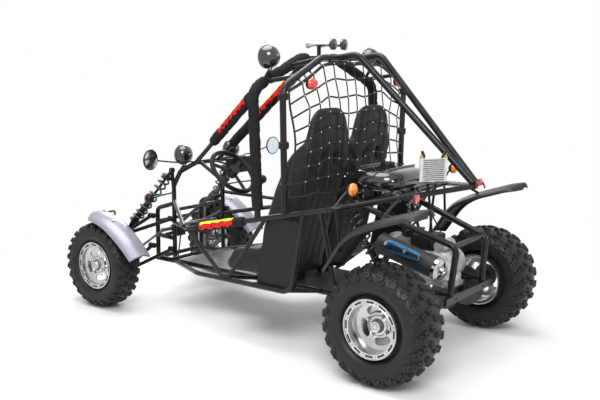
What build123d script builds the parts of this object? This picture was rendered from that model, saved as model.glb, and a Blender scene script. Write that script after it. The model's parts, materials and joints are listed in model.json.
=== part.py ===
from build123d import *
from math import atan2, cos, degrees, pi, radians, sin
import os

# A two-seat tube-frame dune buggy, in millimetres.
# X points forward, Y to the driver's side on the left, Z up. The origin is on the ground,
# under the middle of the length between the front and the rear tyres.

# Driving sizes
wheelbase = 1957
front_tyre_diameter = 505
front_tyre_width = 178
rear_tyre_diameter = 559
rear_tyre_width = 245
front_tyre_y = 515
rear_tyre_y = 548
running_clearance = 6
seat_clearance = 0.3
cut_overrun = 20

# Tubes of the frame
main_tube = 32
rail_tube = 27
light_tube = 22
pillar_tube = 25
stay_tube = 34
main_bend = 90
rail_bend = 70
tight_bend = 40

# Upper side rails, from the nose post back to the rear apex
rail_front_x = 690
rail_front_y = 215
rail_front_z = 492
rail_corner_x = 244
rail_y = 550
rail_corner_z = 565
rail_kink_x = -688
rail_kink_z = 775
apex_x = -1133
apex_y = 14
apex_z = 863

# Lower frame: two main rails, the outer rails and the cross tubes
lower_front_x = 870
lower_rear_x = -470
lower_y = 190
lower_z = 250
outer_front_x = 720
outer_corner_x = 184
outer_z = 332
outer_rear_x = -446
outer_top_x = -521
brace_front_x = 250
brace_bottom_x = -17
brace_rear_x = -286
brace_bottom_half = 26
cross_front_x = 60
cross_middle_x = -180

# Nose frame: four posts, the top loop and the shock towers
post_rear_x = 690
post_rear_y = 215
post_rear_top_z = 715
post_cross_z = 610
post_front_x = 860
post_front_y = 190
post_front_top_z = 560
nose_loop_x = 640
nose_loop_y = 210
nose_loop_z = 805
middle_rail_z = 396
tower_x = 668
tower_y = 250
tower_z = 815

# Hoops, roof and stays
front_hoop_x = -206
front_hoop_base_x = -236
front_hoop_y = 550
front_hoop_shoulder_z = 1315
front_hoop_top_y = 165
front_hoop_top_z = 1465
rear_hoop_x = -406
rear_hoop_y = 570
rear_hoop_shoulder_z = 1330
rear_hoop_top_y = 250
rear_hoop_top_z = 1470
roof_link_y = 460
roof_inner_y = 262
stay_top_x = -524
stay_top_y = 110
stay_top_z = 1488
pillar_foot_x = 515
pillar_foot_z = 868
pillar_foot_y = 205
pillar_top_y = 545
pillar_top_z = 1290
centre_pillar_foot_y = 20
centre_pillar_top_y = 75

# Rear cage round the engine, with the flat lower bar
cage_top_x = -606
cage_top_y = 235
cage_bend_x = -1135
cage_bend_y = 162
cage_bend_z = 587
cage_foot_x = -1112
cage_foot_y = 181
cage_foot_z = 325
flat_bar_length = 500
flat_bar_height = 36
flat_bar_thickness = 14
flat_bar_z = 335
bar_hole_diameter = 13
bar_hole_spacing = 300

# Swing arm and the rear axle on it
arm_pivot_x = -490
arm_pivot_z = 300
arm_y = 215
arm_end_z = 362
axle_diameter = 32
carrier_width = 40
carrier_length = 90
hub_flange_diameter = 130
hub_flange_thickness = 10
hub_length = 60
disc_diameter = 216
disc_thickness = 6
disc_y = -300
sprocket_y = -60
sprocket_diameter = 150

# Wheels
rim_seat_diameter = 254
rim_flange_height = 12
rim_wall = 6
front_rim_width = 140
rear_rim_width = 222
tyre_wall = 9
bead_width = 14
shoulder_radius = 34
face_thickness = 8
front_face_depth = 34
rear_face_depth = 84
window_count = 4
window_radius = 17
window_circle = 140
hub_bolt_circle = 84
hub_bolt_diameter = 10
hub_bolt_count = 4
wheel_hub_diameter = 62
cap_hub_length = 30

# Suspension arms, knuckles and steering
kingpin_y = 375
kingpin_top_z = 400
kingpin_bottom_z = 165
kingpin_diameter = 24
kingpin_eye = 40
kingpin_eye_height = 30
stub_diameter = 26
arm_front_x = 860
arm_rear_x = 690
arm_pivot_y = 240
upper_arm_z = 520
lower_arm_z = 335
arm_tube = 22
shock_foot_x = 946
shock_foot_y = 346
shock_foot_z = 446
rack_x = 775
rack_pinion_y = 130
rack_tube = 40
rack_lift = 12
rack_housing_half = 150
rack_bar_diameter = 22
rack_bar_half = 230
tie_rod_diameter = 14
tie_rod_end_x = 902
tie_rod_end_z = 298
tie_rod_ball = 26
tie_rod_gap = 6
steering_arm_thickness = 12
wheel_hub_x = 222
wheel_hub_y = 215
wheel_hub_z = 840
joint_x = 379
joint_z = 695
joint_diameter = 34
joint_length = 44
steering_wheel_diameter = 300
steering_rim_diameter = 26
steering_hub_diameter = 60
steering_hub_depth = 50
steering_spoke_width = 22
spoke_count = 3
shaft_diameter = 20
shaft_gap = 4
shaft_end_gap = 0.5
spider_diameter = 26
column_tube = 36
column_length = 70
column_start = 60

# Shock absorbers
shock_diameter = 56
rear_shock_foot_x = -800
rear_shock_top_y = 300

# Seats, panels and pedals
seat_y = 215
seat_width = 400
seat_base_x = 120
seat_back_x = -225
seat_top_x = -372
seat_base_z = 330
seat_top_z = 1230
seat_thickness = 70
seat_foot_length = 60
seat_foot_width = 120
seat_foot_y = 130
floor_thickness = 3
dash_x = 352
dash_z = 850
dash_width = 250
dash_height = 90
dash_thickness = 12
gauge_radius = 32
pedal_x = 610
pedal_lean = 30
pedal_height = 170
pedal_foot_z = 300
pedal_width = 60
pedal_spacing = 110
panel_thickness = 4

# Engine, exhaust, tank and cooler
engine_length = 460
engine_width = 230
engine_height = 230
engine_x = -850
engine_z = 490
engine_foot = 22
engine_foot_length = 50
engine_bed_front_x = -720
engine_bed_rear_x = -1040
muffler_front_x = -781
muffler_front_z = 582
muffler_rear_x = -1096
muffler_rear_z = 500
muffler_y = 272
muffler_diameter = 104
tank_x = -650
tank_length = 330
tank_width = 400
tank_height = 110
tank_z = 865
cap_diameter = 70
cap_height = 24
tank_round_share = 0.35
tank_foot_length = 30
tank_foot_sink = 6
cooler_x = -999
cooler_y = 168
cooler_width = 140
cooler_height = 112
cooler_thickness = 32
cooler_foot_thickness = 6
cooler_z = 948

# Lamps, signals, mirrors and horns
headlamp_x = 596
headlamp_y = 209
headlamp_z = 908
headlamp_radius = 61
headlamp_depth = 70
roof_lamp_x = -254
roof_lamp_y = 465
roof_lamp_z = 1472
roof_lamp_radius = 60
roof_lamp_depth = 80
signal_radius = 27
signal_depth = 48
front_signal_x = 595
front_signal_y = 501
front_signal_z = 686
rear_signal_x = -766
rear_signal_y = 514
rear_signal_z = 871
tail_lamp_x = -459
tail_lamp_y = 411
tail_lamp_z = 1344
reflector_x = -1010
reflector_y = 341
reflector_z = 832
reflector_width = 40
reflector_height = 34
reflector_depth = 10
mirror_x = 548
mirror_y = 537
mirror_z = 911
mirror_radius = 57
mirror_depth = 26
stalk_diameter = 9
horn_x = -330
horn_y = 50
horn_z = 1540
horn_radius = 30
horn_depth = 24
horn_length = 150

# Fenders
fender_thickness = 4
fender_inner_y = 424
fender_outer_y = 606
fender_front_x = 1075
fender_front_z = 552
fender_crown_z = 565
fender_bend_x = 864
fender_bend_z = 527
fender_rear_x = 640
fender_rear_z = 358
fender_stay_diameter = 12
fender_stay_gap = 7
fender_stay_reach = 60
rear_fender_thickness = 5
rear_fender_inner_y = 420
rear_fender_outer_y = 640
rear_fender_front_x = -655
rear_fender_front_z = 505
rear_fender_bend_x = -800
rear_fender_bend_z = 690
rear_fender_rise_x = -1060
rear_fender_rise_z = 800
rear_fender_tip_x = -1170
rear_fender_tip_z = 835
rear_fender_stay_front_x = -720
rear_fender_stay_rear_x = -930
rear_fender_stay_reach = 60
stay_rod_diameter = 14

# Net
net_thickness = 3
net_gap = 12
net_foot_z = 800

# Worked-out places
front_radius = front_tyre_diameter / 2
rear_radius = rear_tyre_diameter / 2
front_axle_x = (wheelbase + rear_radius - front_radius) / 2
rear_axle_x = front_axle_x - wheelbase
rack_cross_z = middle_rail_z + rack_lift
rack_z = rack_cross_z + light_tube / 2 + rack_tube / 2 + seat_clearance
rail_rise = (rail_kink_z - rail_corner_z) / (rail_corner_x - rail_kink_x)

rear_fender_points = [
    (rear_fender_front_x, rear_fender_front_z),
    (rear_fender_bend_x, rear_fender_bend_z),
    (rear_fender_rise_x, rear_fender_rise_z),
    (rear_fender_tip_x, rear_fender_tip_z),
]

os.makedirs("parts", exist_ok=True)
parts = {}


def rail_height(x):
    """Height of the side rail's axis at a station between its corner and its kink."""
    return rail_corner_z + (rail_corner_x - x) * rail_rise


def rail_place(x):
    """The side rail's distance from the middle and its height, before or behind its kink."""
    if x > rail_kink_x:
        return rail_y, rail_height(x)
    share = (rail_kink_x - x) / (rail_kink_x - apex_x)
    return rail_y + share * (apex_y - rail_y), rail_kink_z + share * (apex_z - rail_kink_z)


def rear_fender_height(x):
    """Height of the rear fender's top at a station."""
    for (x_a, z_a), (x_b, z_b) in zip(rear_fender_points, rear_fender_points[1:]):
        if x_b <= x <= x_a:
            return z_a + (x_a - x) / (x_a - x_b) * (z_b - z_a)
    return rear_fender_points[-1][1]


def tube(points, diameter, bend=0):
    """A round tube along straight runs, its corners bent to one radius."""
    corners = [Vector(*point) for point in points]
    if len(corners) > 2:
        path = FilletPolyline(*corners, radius=bend)
    else:
        path = Line(*corners)
    section = Plane(origin=corners[0], z_dir=corners[1] - corners[0]) * Circle(diameter / 2)
    return sweep(section, path=path)


def both(shape):
    """A shape and its mirror image across the middle of the car."""
    return [shape, mirror(shape, about=Plane.XZ)]


def pair(points, diameter, bend=0):
    """The same tube on the left and on the right."""
    return both(tube(points, diameter, bend))


def disc(centre, direction, radius, depth):
    """A round disc with its middle at a point."""
    plane = Plane(origin=centre, z_dir=direction)
    return extrude(plane * Circle(radius), amount=depth / 2, both=True)


def block(x, y, z, length, width, height):
    """A box with its middle at a point."""
    return Pos(x, y, z) * Box(length, width, height)


def fused(shapes):
    """Every shape of a list joined into one."""
    return shapes[0].fuse(*shapes[1:])


def keep(node, shape, cut_by=()):
    """Cope a shape to the nodes that it meets, and write it as its own file."""
    for other in cut_by:
        shape = shape - parts[other]
    solids = shape.solids()
    small = max(solid.volume for solid in solids) / 1000
    shape = Compound(children=[solid for solid in solids if solid.volume > small])
    shape.label = node
    parts[node] = shape
    export_step(shape, f"parts/{node}.step")
    return shape


def lower_frame():
    main = pair([(lower_front_x, lower_y, lower_z), (lower_rear_x, lower_y, lower_z)], main_tube)
    outer = pair(
        [
            (outer_front_x, lower_y, lower_z),
            (outer_corner_x, rail_y, outer_z),
            (outer_rear_x, rail_y, outer_z),
            (outer_top_x, rail_y, rail_height(outer_top_x)),
        ],
        rail_tube,
        rail_bend,
    )
    crosses = [
        tube([(x, -lower_y, lower_z), (x, lower_y, lower_z)], rail_tube)
        for x in (lower_front_x, lower_rear_x)
    ]
    outriggers = []
    for x in (cross_front_x, cross_middle_x, outer_rear_x + rail_bend):
        outriggers += pair([(x, lower_y, lower_z), (x, rail_y, outer_z)], light_tube)
        outriggers += [tube([(x, -lower_y, lower_z), (x, lower_y, lower_z)], light_tube)]
    keep("lower_frame", fused(main + outer + crosses + outriggers))


def side_rails():
    rails = pair(
        [
            (rail_front_x, rail_front_y, rail_front_z),
            (rail_corner_x, rail_y, rail_corner_z),
            (rail_kink_x, rail_y, rail_kink_z),
            (apex_x, apex_y, apex_z),
        ],
        rail_tube,
        rail_bend,
    )
    seat = outer_z + rail_tube / 2 + light_tube / 2 - light_tube / 4
    braces = pair(
        [
            (brace_front_x, rail_y, rail_height(brace_front_x)),
            (brace_bottom_x + brace_bottom_half, rail_y, seat),
            (brace_bottom_x - brace_bottom_half, rail_y, seat),
            (brace_rear_x, rail_y, rail_height(brace_rear_x)),
        ],
        light_tube,
        brace_bottom_half / 2,
    )
    uprights = pair(
        [
            (rail_kink_x + rail_bend, rail_y, rail_height(rail_kink_x + rail_bend)),
            (lower_rear_x, lower_y, lower_z),
        ],
        rail_tube,
    )
    cross = tube([(cage_top_x, -rail_y, rail_height(cage_top_x)), (cage_top_x, rail_y, rail_height(cage_top_x))],
                 rail_tube)
    tank_beds = []
    for x in (tank_x + tank_length / 3, tank_x - tank_length / 3):
        y, z = rail_place(x)
        tank_beds += [tube([(x, -y, z), (x, y, z)], light_tube)]
    tie = disc((apex_x, 0, apex_z), (0, 1, 0), stay_tube / 2, apex_y * 2)
    keep("side_rails", fused(rails + braces + uprights + tank_beds + [cross, tie]), ["lower_frame"])


def nose_frame():
    posts = pair(
        [
            (post_rear_x, post_rear_y, lower_z),
            (post_rear_x, post_rear_y, post_rear_top_z),
            (nose_loop_x, nose_loop_y, nose_loop_z),
            (pillar_foot_x, pillar_foot_y, pillar_foot_z),
        ],
        rail_tube,
        tight_bend,
    )
    fronts = pair(
        [
            (post_front_x, post_front_y, lower_z),
            (post_front_x, post_front_y, post_front_top_z),
            (post_rear_x, post_rear_y, post_cross_z),
        ],
        rail_tube,
        tight_bend,
    )
    middles = pair(
        [(post_rear_x, post_rear_y, middle_rail_z), (post_front_x, post_front_y, middle_rail_z)],
        rail_tube,
    )
    rack_seat_y = (post_rear_y + post_front_y) / 2
    knee = Vector(rail_corner_x + rail_bend, rail_y - rail_bend / 2, rail_corner_z)
    braces = pair([(post_rear_x, post_rear_y, post_cross_z + tight_bend / 2), knee], light_tube)
    crosses = [
        tube([(x, -y, z), (x, y, z)], diameter)
        for x, y, z, diameter in (
            (pillar_foot_x, pillar_foot_y, pillar_foot_z, rail_tube),
            (post_front_x, post_front_y, post_front_top_z - tight_bend * 2, light_tube),
            (post_rear_x, post_rear_y, post_cross_z - tight_bend, light_tube),
            (rack_x, rack_seat_y, rack_cross_z, light_tube),
        )
    ]
    towers = pair([(post_rear_x, post_rear_y, post_rear_top_z - tight_bend), (tower_x, tower_y, tower_z)],
                  light_tube)
    keep("nose_frame", fused(posts + fronts + middles + braces + crosses + towers), ["lower_frame", "side_rails"])


def front_hoop():
    hoop = tube(
        [
            (front_hoop_base_x, front_hoop_y, rail_height(front_hoop_base_x)),
            (front_hoop_x, front_hoop_y, front_hoop_shoulder_z),
            (front_hoop_x, front_hoop_top_y, front_hoop_top_z),
            (front_hoop_x, -front_hoop_top_y, front_hoop_top_z),
            (front_hoop_x, -front_hoop_y, front_hoop_shoulder_z),
            (front_hoop_base_x, -front_hoop_y, rail_height(front_hoop_base_x)),
        ],
        main_tube,
        main_bend,
    )
    keep("front_hoop", hoop, ["side_rails"])


def rear_hoop():
    hoop = tube(
        [
            (rear_hoop_x, rail_y, rail_height(rear_hoop_x)),
            (rear_hoop_x, rear_hoop_y, rear_hoop_shoulder_z),
            (rear_hoop_x, rear_hoop_top_y, rear_hoop_top_z),
            (rear_hoop_x, -rear_hoop_top_y, rear_hoop_top_z),
            (rear_hoop_x, -rear_hoop_y, rear_hoop_shoulder_z),
            (rear_hoop_x, -rail_y, rail_height(rear_hoop_x)),
        ],
        main_tube,
        main_bend,
    )
    keep("rear_hoop", hoop, ["side_rails"])


def slope_height(y, shoulder_y, shoulder_z, top_y, top_z):
    """Height of a hoop's sloping shoulder at a distance from the middle."""
    return shoulder_z + (shoulder_y - y) / (shoulder_y - top_y) * (top_z - shoulder_z)


def front_slope(y):
    return slope_height(y, front_hoop_y, front_hoop_shoulder_z, front_hoop_top_y, front_hoop_top_z)


def rear_slope(y):
    return slope_height(y, rear_hoop_y, rear_hoop_shoulder_z, rear_hoop_top_y, rear_hoop_top_z)


def roof_links():
    links = pair([(front_hoop_x, roof_link_y, front_slope(roof_link_y)),
                  (rear_hoop_x, roof_link_y, rear_slope(roof_link_y))], light_tube)
    links += pair([(front_hoop_x, roof_inner_y, front_slope(roof_inner_y)),
                   (rear_hoop_x, roof_inner_y, rear_slope(roof_inner_y))], light_tube)
    keep("roof_links", Compound(children=links), ["front_hoop", "rear_hoop"])


def rear_stays():
    stays = pair(
        [
            (rear_hoop_x, stay_top_y, rear_hoop_top_z),
            (stay_top_x, stay_top_y, stay_top_z),
            (apex_x, apex_y, apex_z + stay_tube / 2),
        ],
        stay_tube,
        rail_bend,
    )
    keep("rear_stays", fused(stays), ["rear_hoop", "side_rails"])


def pillars():
    outer = tube([(pillar_foot_x, pillar_foot_y, pillar_foot_z), (front_hoop_x, pillar_top_y, pillar_top_z)],
                 pillar_tube)
    middle = tube(
        [(pillar_foot_x, centre_pillar_foot_y, pillar_foot_z), (front_hoop_x, centre_pillar_top_y, front_hoop_top_z)],
        pillar_tube,
    )
    keep("pillars", Compound(children=[outer, middle]), ["nose_frame", "front_hoop"])


def rear_cage():
    loops = pair(
        [
            (cage_top_x, cage_top_y, rail_height(cage_top_x)),
            (cage_bend_x, cage_bend_y, cage_bend_z),
            (cage_foot_x, cage_foot_y, cage_foot_z),
        ],
        main_tube,
        main_bend / 2,
    )
    cross_x = cage_bend_x + main_bend / 4
    cross = tube([(cross_x, -cage_bend_y, cage_bend_z), (cross_x, cage_bend_y, cage_bend_z)], rail_tube)
    bar = block(cage_foot_x - main_tube / 2, 0, flat_bar_z, flat_bar_thickness, flat_bar_length, flat_bar_height)
    for side in (-1, 1):
        hole = disc((cage_foot_x - main_tube / 2, side * bar_hole_spacing / 2, flat_bar_z), (1, 0, 0),
                    bar_hole_diameter / 2, cut_overrun * 2)
        bar = bar - hole
    keep("rear_cage", fused(loops + [cross, bar]), ["side_rails"])


def swing_arm():
    beams = pair(
        [
            (arm_pivot_x, arm_y, arm_pivot_z),
            (rear_axle_x, arm_y, arm_end_z),
            (cage_foot_x, cage_foot_y, arm_end_z),
        ],
        main_tube,
        main_bend,
    )
    pivot = tube([(arm_pivot_x, -arm_y, arm_pivot_z), (arm_pivot_x, arm_y, arm_pivot_z)], main_tube)
    bed_z = engine_z - engine_height / 2 - engine_foot - light_tube / 2 - seat_clearance
    beds = [tube([(x, -arm_y, bed_z), (x, arm_y, bed_z)], light_tube) for x in (engine_bed_front_x, engine_bed_rear_x)]
    bearing = axle_diameter / 2 + seat_clearance
    carriers = []
    for side in (-1, 1):
        plate = block(rear_axle_x, side * arm_y, (arm_end_z + rear_radius) / 2, carrier_length, carrier_width,
                      arm_end_z - rear_radius)
        boss = disc((rear_axle_x, side * arm_y, rear_radius), (0, 1, 0), carrier_length / 2, carrier_width)
        hole = disc((rear_axle_x, side * arm_y, rear_radius), (0, 1, 0), bearing, carrier_width + cut_overrun)
        carriers += [plate + boss - hole]
    keep("swing_arm", fused(beams + [pivot] + beds + carriers), ["lower_frame", "side_rails", "rear_cage"])


def arms(node, pivot_z, end_z, towards_knuckle):
    """The left and right A-shaped suspension arms at one level."""
    legs = []
    for pivot_x in (arm_front_x, arm_rear_x):
        legs += [tube([(pivot_x, arm_pivot_y, pivot_z), (front_axle_x, kingpin_y, end_z)], arm_tube)]
        legs += [disc((pivot_x, arm_pivot_y, pivot_z), (1, 0, 0), arm_tube * 3 / 4, kingpin_eye)]
    boss = disc((front_axle_x, kingpin_y, end_z), (0, 0, 1), kingpin_eye / 2, kingpin_eye_height)
    hole = disc((front_axle_x, kingpin_y, end_z), (0, 0, 1), kingpin_diameter / 2 + seat_clearance,
                kingpin_eye_height + arm_tube * 2)
    room_z = end_z + towards_knuckle * kingpin_eye_height
    room = disc((front_axle_x, kingpin_y, room_z), (0, 0, 1), kingpin_eye / 2 + running_clearance,
                kingpin_eye_height)
    arm = fused(legs + [boss]) - hole - room
    keep(node, Compound(children=both(arm)), ["lower_frame", "nose_frame", "side_rails"])


def front_shocks():
    foot = (shock_foot_x, shock_foot_y, shock_foot_z)
    body = tube([foot, (tower_x, tower_y, tower_z)], shock_diameter)
    keep("front_shocks", Compound(children=both(body)), ["nose_frame", "upper_arms", "side_rails"])


def rear_shocks():
    body = tube(
        [(rear_shock_foot_x, arm_y, arm_end_z), (cage_top_x, rear_shock_top_y, rail_height(cage_top_x))],
        shock_diameter,
    )
    keep("rear_shocks", Compound(children=both(body)), ["side_rails", "swing_arm", "rear_cage"])


def seats():
    for side, node in ((1, "seat_left"), (-1, "seat_right")):
        outline = Polyline(
            (seat_base_x, seat_base_z + seat_thickness),
            (seat_back_x + seat_thickness, seat_base_z + seat_thickness * 2 / 3),
            (seat_top_x + seat_thickness / 2, seat_top_z - seat_thickness / 2),
            (seat_top_x, seat_top_z),
            (seat_top_x - seat_thickness / 2, seat_top_z - seat_thickness / 2),
            (seat_back_x - seat_thickness / 4, seat_base_z),
            (seat_base_x, seat_base_z),
            close=True,
        )
        profile = Plane(origin=(0, side * seat_y, 0), x_dir=(1, 0, 0), z_dir=(0, -1, 0)) * make_face(outline)
        seat = extrude(profile, amount=seat_width / 2, both=True)
        floor_top = lower_z + main_tube / 2 + floor_thickness
        height = seat_base_z - floor_top - seat_clearance
        for x in (seat_base_x - seat_foot_length, seat_back_x + seat_foot_length):
            seat = seat + block(x, side * seat_foot_y, seat_base_z - height / 2, seat_foot_length, seat_foot_width,
                                height)
        keep(node, seat)


def floor_pan():
    z = lower_z + main_tube / 2 + floor_thickness / 2
    length = post_rear_x - lower_rear_x - rail_tube * 2
    pan = block((post_rear_x + lower_rear_x) / 2, 0, z, length, lower_y * 2 + main_tube, floor_thickness)
    keep("floor_pan", pan, ["lower_frame", "side_rails", "nose_frame"])


def side_panels():
    panels = []
    top = rail_height(brace_rear_x)
    foot = outer_z
    panel_y = rail_y - rail_tube / 2 - panel_thickness / 2 - seat_clearance
    for side in (-1, 1):
        outline = Polyline(
            (brace_rear_x + rail_bend, foot),
            (outer_rear_x - rail_bend / 4, foot),
            (outer_top_x + rail_tube / 2, top),
            (brace_rear_x, top),
            close=True,
        )
        plane = Plane(origin=(0, side * panel_y, 0), x_dir=(1, 0, 0), z_dir=(0, -1, 0))
        panels += [extrude(plane * make_face(outline), amount=panel_thickness / 2, both=True)]
    keep("side_panels", Compound(children=panels), ["lower_frame", "side_rails"])


def pedals():
    pads = []
    for y in (wheel_hub_y - pedal_spacing / 2, wheel_hub_y + pedal_spacing / 2):
        lever = tube([(pedal_x, y, pedal_foot_z), (pedal_x - pedal_lean, y, pedal_foot_z + pedal_height)],
                     stalk_diameter)
        pad = block(pedal_x - pedal_lean, y, pedal_foot_z + pedal_height, stalk_diameter, pedal_width, pedal_width)
        pads += [lever + pad]
    bar = tube([(pedal_x, wheel_hub_y - pedal_spacing, pedal_foot_z), (pedal_x, wheel_hub_y + pedal_spacing, pedal_foot_z)],
               light_tube)
    keep("pedals", fused(pads + [bar]), ["lower_frame", "floor_pan", "side_rails", "nose_frame"])


def wheel_plane(x, y, z, side):
    """A profile plane through the wheel's axis: first axis outwards along Y, second axis upwards."""
    return Plane(origin=(x, y, z), x_dir=(0, side, 0), z_dir=(side, 0, 0))


def turned(outline, x, y, z, side):
    """A closed outline of (outwards, radius) points revolved about the wheel's axis."""
    plane = wheel_plane(x, y, z, side)
    face = plane * make_face(outline)
    return revolve(face, axis=Axis((x, y, z), (0, 1, 0)), revolution_arc=360)


def tyre(node, x, y, side, diameter, width, rim_width):
    """A hollow tyre: bead, sidewall, shoulder and tread as one thick wall."""
    outer = diameter / 2
    half = width / 2
    seat = rim_seat_diameter / 2 + seat_clearance
    bead = rim_width / 2 - rim_wall - seat_clearance
    shoulder = outer - shoulder_radius
    outline = Polyline(
        (-bead, seat),
        (-bead, seat + rim_flange_height),
        (-half, (seat + outer) / 2),
        (-half, shoulder),
        (-half + shoulder_radius / 2, outer),
        (half - shoulder_radius / 2, outer),
        (half, shoulder),
        (half, (seat + outer) / 2),
        (bead, seat + rim_flange_height),
        (bead, seat),
        (bead - bead_width, seat),
        (half - tyre_wall * 2, shoulder),
        (half - tyre_wall * 3, outer - tyre_wall * 2),
        (-half + tyre_wall * 3, outer - tyre_wall * 2),
        (-half + tyre_wall * 2, shoulder),
        (-bead + bead_width, seat),
        close=True,
    )
    keep(node, turned(outline, x, y, outer, side))


def rim(node, x, y, side, radius, width, depth, bore, flange_gap):
    """A dished rim: barrel with two flanges, a face with windows, and the hub in its middle."""
    half = width / 2
    seat = rim_seat_diameter / 2
    flange = seat + rim_flange_height
    face = half - depth
    barrel = Polyline(
        (-half, flange),
        (-half + rim_wall, flange),
        (-half + rim_wall, seat),
        (half - rim_wall, seat),
        (half - rim_wall, flange),
        (half, flange),
        (half, seat - rim_wall),
        (-half, seat - rim_wall),
        close=True,
    )
    wheel = turned(barrel, x, y, radius, side)
    plate = disc((x, y + side * face, radius), (0, 1, 0), seat - rim_wall / 2, face_thickness)
    for index in range(window_count):
        angle = 2 * pi * (index + 1 / 2) / window_count
        place = (x + cos(angle) * window_circle / 2, y + side * face, radius + sin(angle) * window_circle / 2)
        plate = plate - disc(place, (0, 1, 0), window_radius, face_thickness + cut_overrun)
    for index in range(hub_bolt_count):
        angle = 2 * pi * index / hub_bolt_count
        place = (x + cos(angle) * hub_bolt_circle / 2, y + side * face, radius + sin(angle) * hub_bolt_circle / 2)
        plate = plate - disc(place, (0, 1, 0), hub_bolt_diameter / 2, face_thickness + cut_overrun)
    hub_start = face - flange_gap
    hub_end = face + cap_hub_length
    middle = (hub_start + hub_end) / 2
    hub = disc((x, y + side * middle, radius), (0, 1, 0), wheel_hub_diameter / 2, hub_end - hub_start)
    hole = disc((x, y + side * middle, radius), (0, 1, 0), bore, hub_end - hub_start + cut_overrun)
    keep(node, wheel + plate + hub - hole)


def wheels():
    for side, name in ((1, "left"), (-1, "right")):
        tyre(f"front_tyre_{name}", front_axle_x, side * front_tyre_y, side, front_tyre_diameter, front_tyre_width,
             front_rim_width)
        rim(f"front_rim_{name}", front_axle_x, side * front_tyre_y, side, front_radius, front_rim_width,
            front_face_depth, stub_diameter / 2 + seat_clearance, hub_length)
        tyre(f"rear_tyre_{name}", rear_axle_x, side * rear_tyre_y, side, rear_tyre_diameter, rear_tyre_width,
             rear_rim_width)
        rim(f"rear_rim_{name}", rear_axle_x, side * rear_tyre_y, side, rear_radius, rear_rim_width,
            rear_face_depth, axle_diameter / 2 + seat_clearance, 0)


def rear_axle():
    face = rear_tyre_y + rear_rim_width / 2 - rear_face_depth
    half = face + cap_hub_length
    shaft = disc((rear_axle_x, 0, rear_radius), (0, 1, 0), axle_diameter / 2, half * 2)
    pieces = [shaft]
    for side in (-1, 1):
        seat = face - face_thickness / 2 - hub_flange_thickness / 2
        pieces += [disc((rear_axle_x, side * seat, rear_radius), (0, 1, 0), hub_flange_diameter / 2,
                        hub_flange_thickness)]
        pieces += [disc((rear_axle_x, side * (seat - hub_length / 2), rear_radius), (0, 1, 0),
                        wheel_hub_diameter / 2, hub_length)]
    for y, diameter in ((disc_y, disc_diameter), (sprocket_y, sprocket_diameter)):
        pieces += [disc((rear_axle_x, y, rear_radius), (0, 1, 0), diameter / 2, disc_thickness)]
        pieces += [disc((rear_axle_x, y, rear_radius), (0, 1, 0), wheel_hub_diameter / 2, disc_thickness * 4)]
    axle = fused(pieces)
    keep("rear_axle", axle)


def knuckles():
    for side, name in ((1, "left"), (-1, "right")):
        y = side * kingpin_y
        top = kingpin_top_z - kingpin_eye_height / 2 - seat_clearance
        bottom = kingpin_bottom_z + kingpin_eye_height / 2 + seat_clearance
        post = disc((front_axle_x, y, (top + bottom) / 2), (0, 0, 1), kingpin_eye / 2, top - bottom)
        pin_length = kingpin_top_z - kingpin_bottom_z + kingpin_eye_height
        pin = disc((front_axle_x, y, (kingpin_top_z + kingpin_bottom_z) / 2), (0, 0, 1), kingpin_diameter / 2,
                   pin_length)
        stub_end = front_tyre_y + front_rim_width / 2 - front_face_depth + cap_hub_length
        stub = disc((front_axle_x, side * (kingpin_y + stub_end) / 2, front_radius), (0, 1, 0), stub_diameter / 2,
                    stub_end - kingpin_y)
        arm_z = tie_rod_end_z - tie_rod_ball / 2 - tie_rod_gap - steering_arm_thickness / 2
        length = front_axle_x - tie_rod_end_x
        arm = block(front_axle_x - length / 2, y, arm_z, length + tie_rod_ball, tie_rod_ball,
                    steering_arm_thickness)
        stand_z = (top + bottom) / 2
        stand_y = kingpin_y + kingpin_eye / 2 + fender_stay_diameter + fender_stay_gap
        stand = tube(
            [
                (front_axle_x, y, stand_z),
                (front_axle_x, side * stand_y, stand_z),
                (front_axle_x, side * stand_y, fender_crown_z - fender_stay_diameter / 2),
                (front_axle_x, side * (stand_y + fender_stay_reach), fender_crown_z - fender_stay_diameter / 2),
            ],
            fender_stay_diameter,
            fender_stay_diameter,
        )
        keep(f"knuckle_{name}", fused([post, pin, stub, arm, stand]))


def strip(points, thickness):
    """A bent strip's side outline: the points and the same points one thickness lower, in (x, z)."""
    upper = [Vector(x, z) for x, z in points]
    lower = [Vector(x, z - thickness) for x, z in reversed(points)]
    return make_face(Polyline(*upper, *lower, close=True))


def strip_between(points, thickness, y_from, y_to):
    """A bent strip laid across the car between two places on Y."""
    width = abs(y_to - y_from)
    plane = Plane(origin=(0, (y_from + y_to) / 2, 0), x_dir=(1, 0, 0), z_dir=(0, -1, 0))
    return extrude(plane * strip(points, thickness), amount=width / 2, both=True)


def front_fenders():
    points = [
        (fender_front_x, fender_front_z),
        (front_axle_x, fender_crown_z + fender_thickness),
        (fender_bend_x, fender_bend_z),
        (fender_rear_x, fender_rear_z),
    ]
    for side, name in ((1, "left"), (-1, "right")):
        plate = strip_between(points, fender_thickness, side * fender_inner_y, side * fender_outer_y)
        keep(f"front_fender_{name}", plate, [f"knuckle_{name}"])


def rear_fenders():
    plates = []
    for side in (-1, 1):
        plate = strip_between(rear_fender_points, rear_fender_thickness, side * rear_fender_inner_y,
                              side * rear_fender_outer_y)
        for x in (rear_fender_stay_front_x, rear_fender_stay_rear_x):
            y, z = rail_place(x)
            plate = plate + tube(
                [
                    (x, side * y, z),
                    (x, side * (rear_fender_inner_y + rear_fender_stay_reach),
                     rear_fender_height(x) - rear_fender_thickness - stay_rod_diameter / 2),
                ],
                stay_rod_diameter,
            )
        plates += [plate]
    keep("rear_fenders", Compound(children=plates), ["side_rails"])


def shaft_between(start, end, diameter):
    """A straight round shaft from one place to another."""
    return tube([start, end], diameter)


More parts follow.
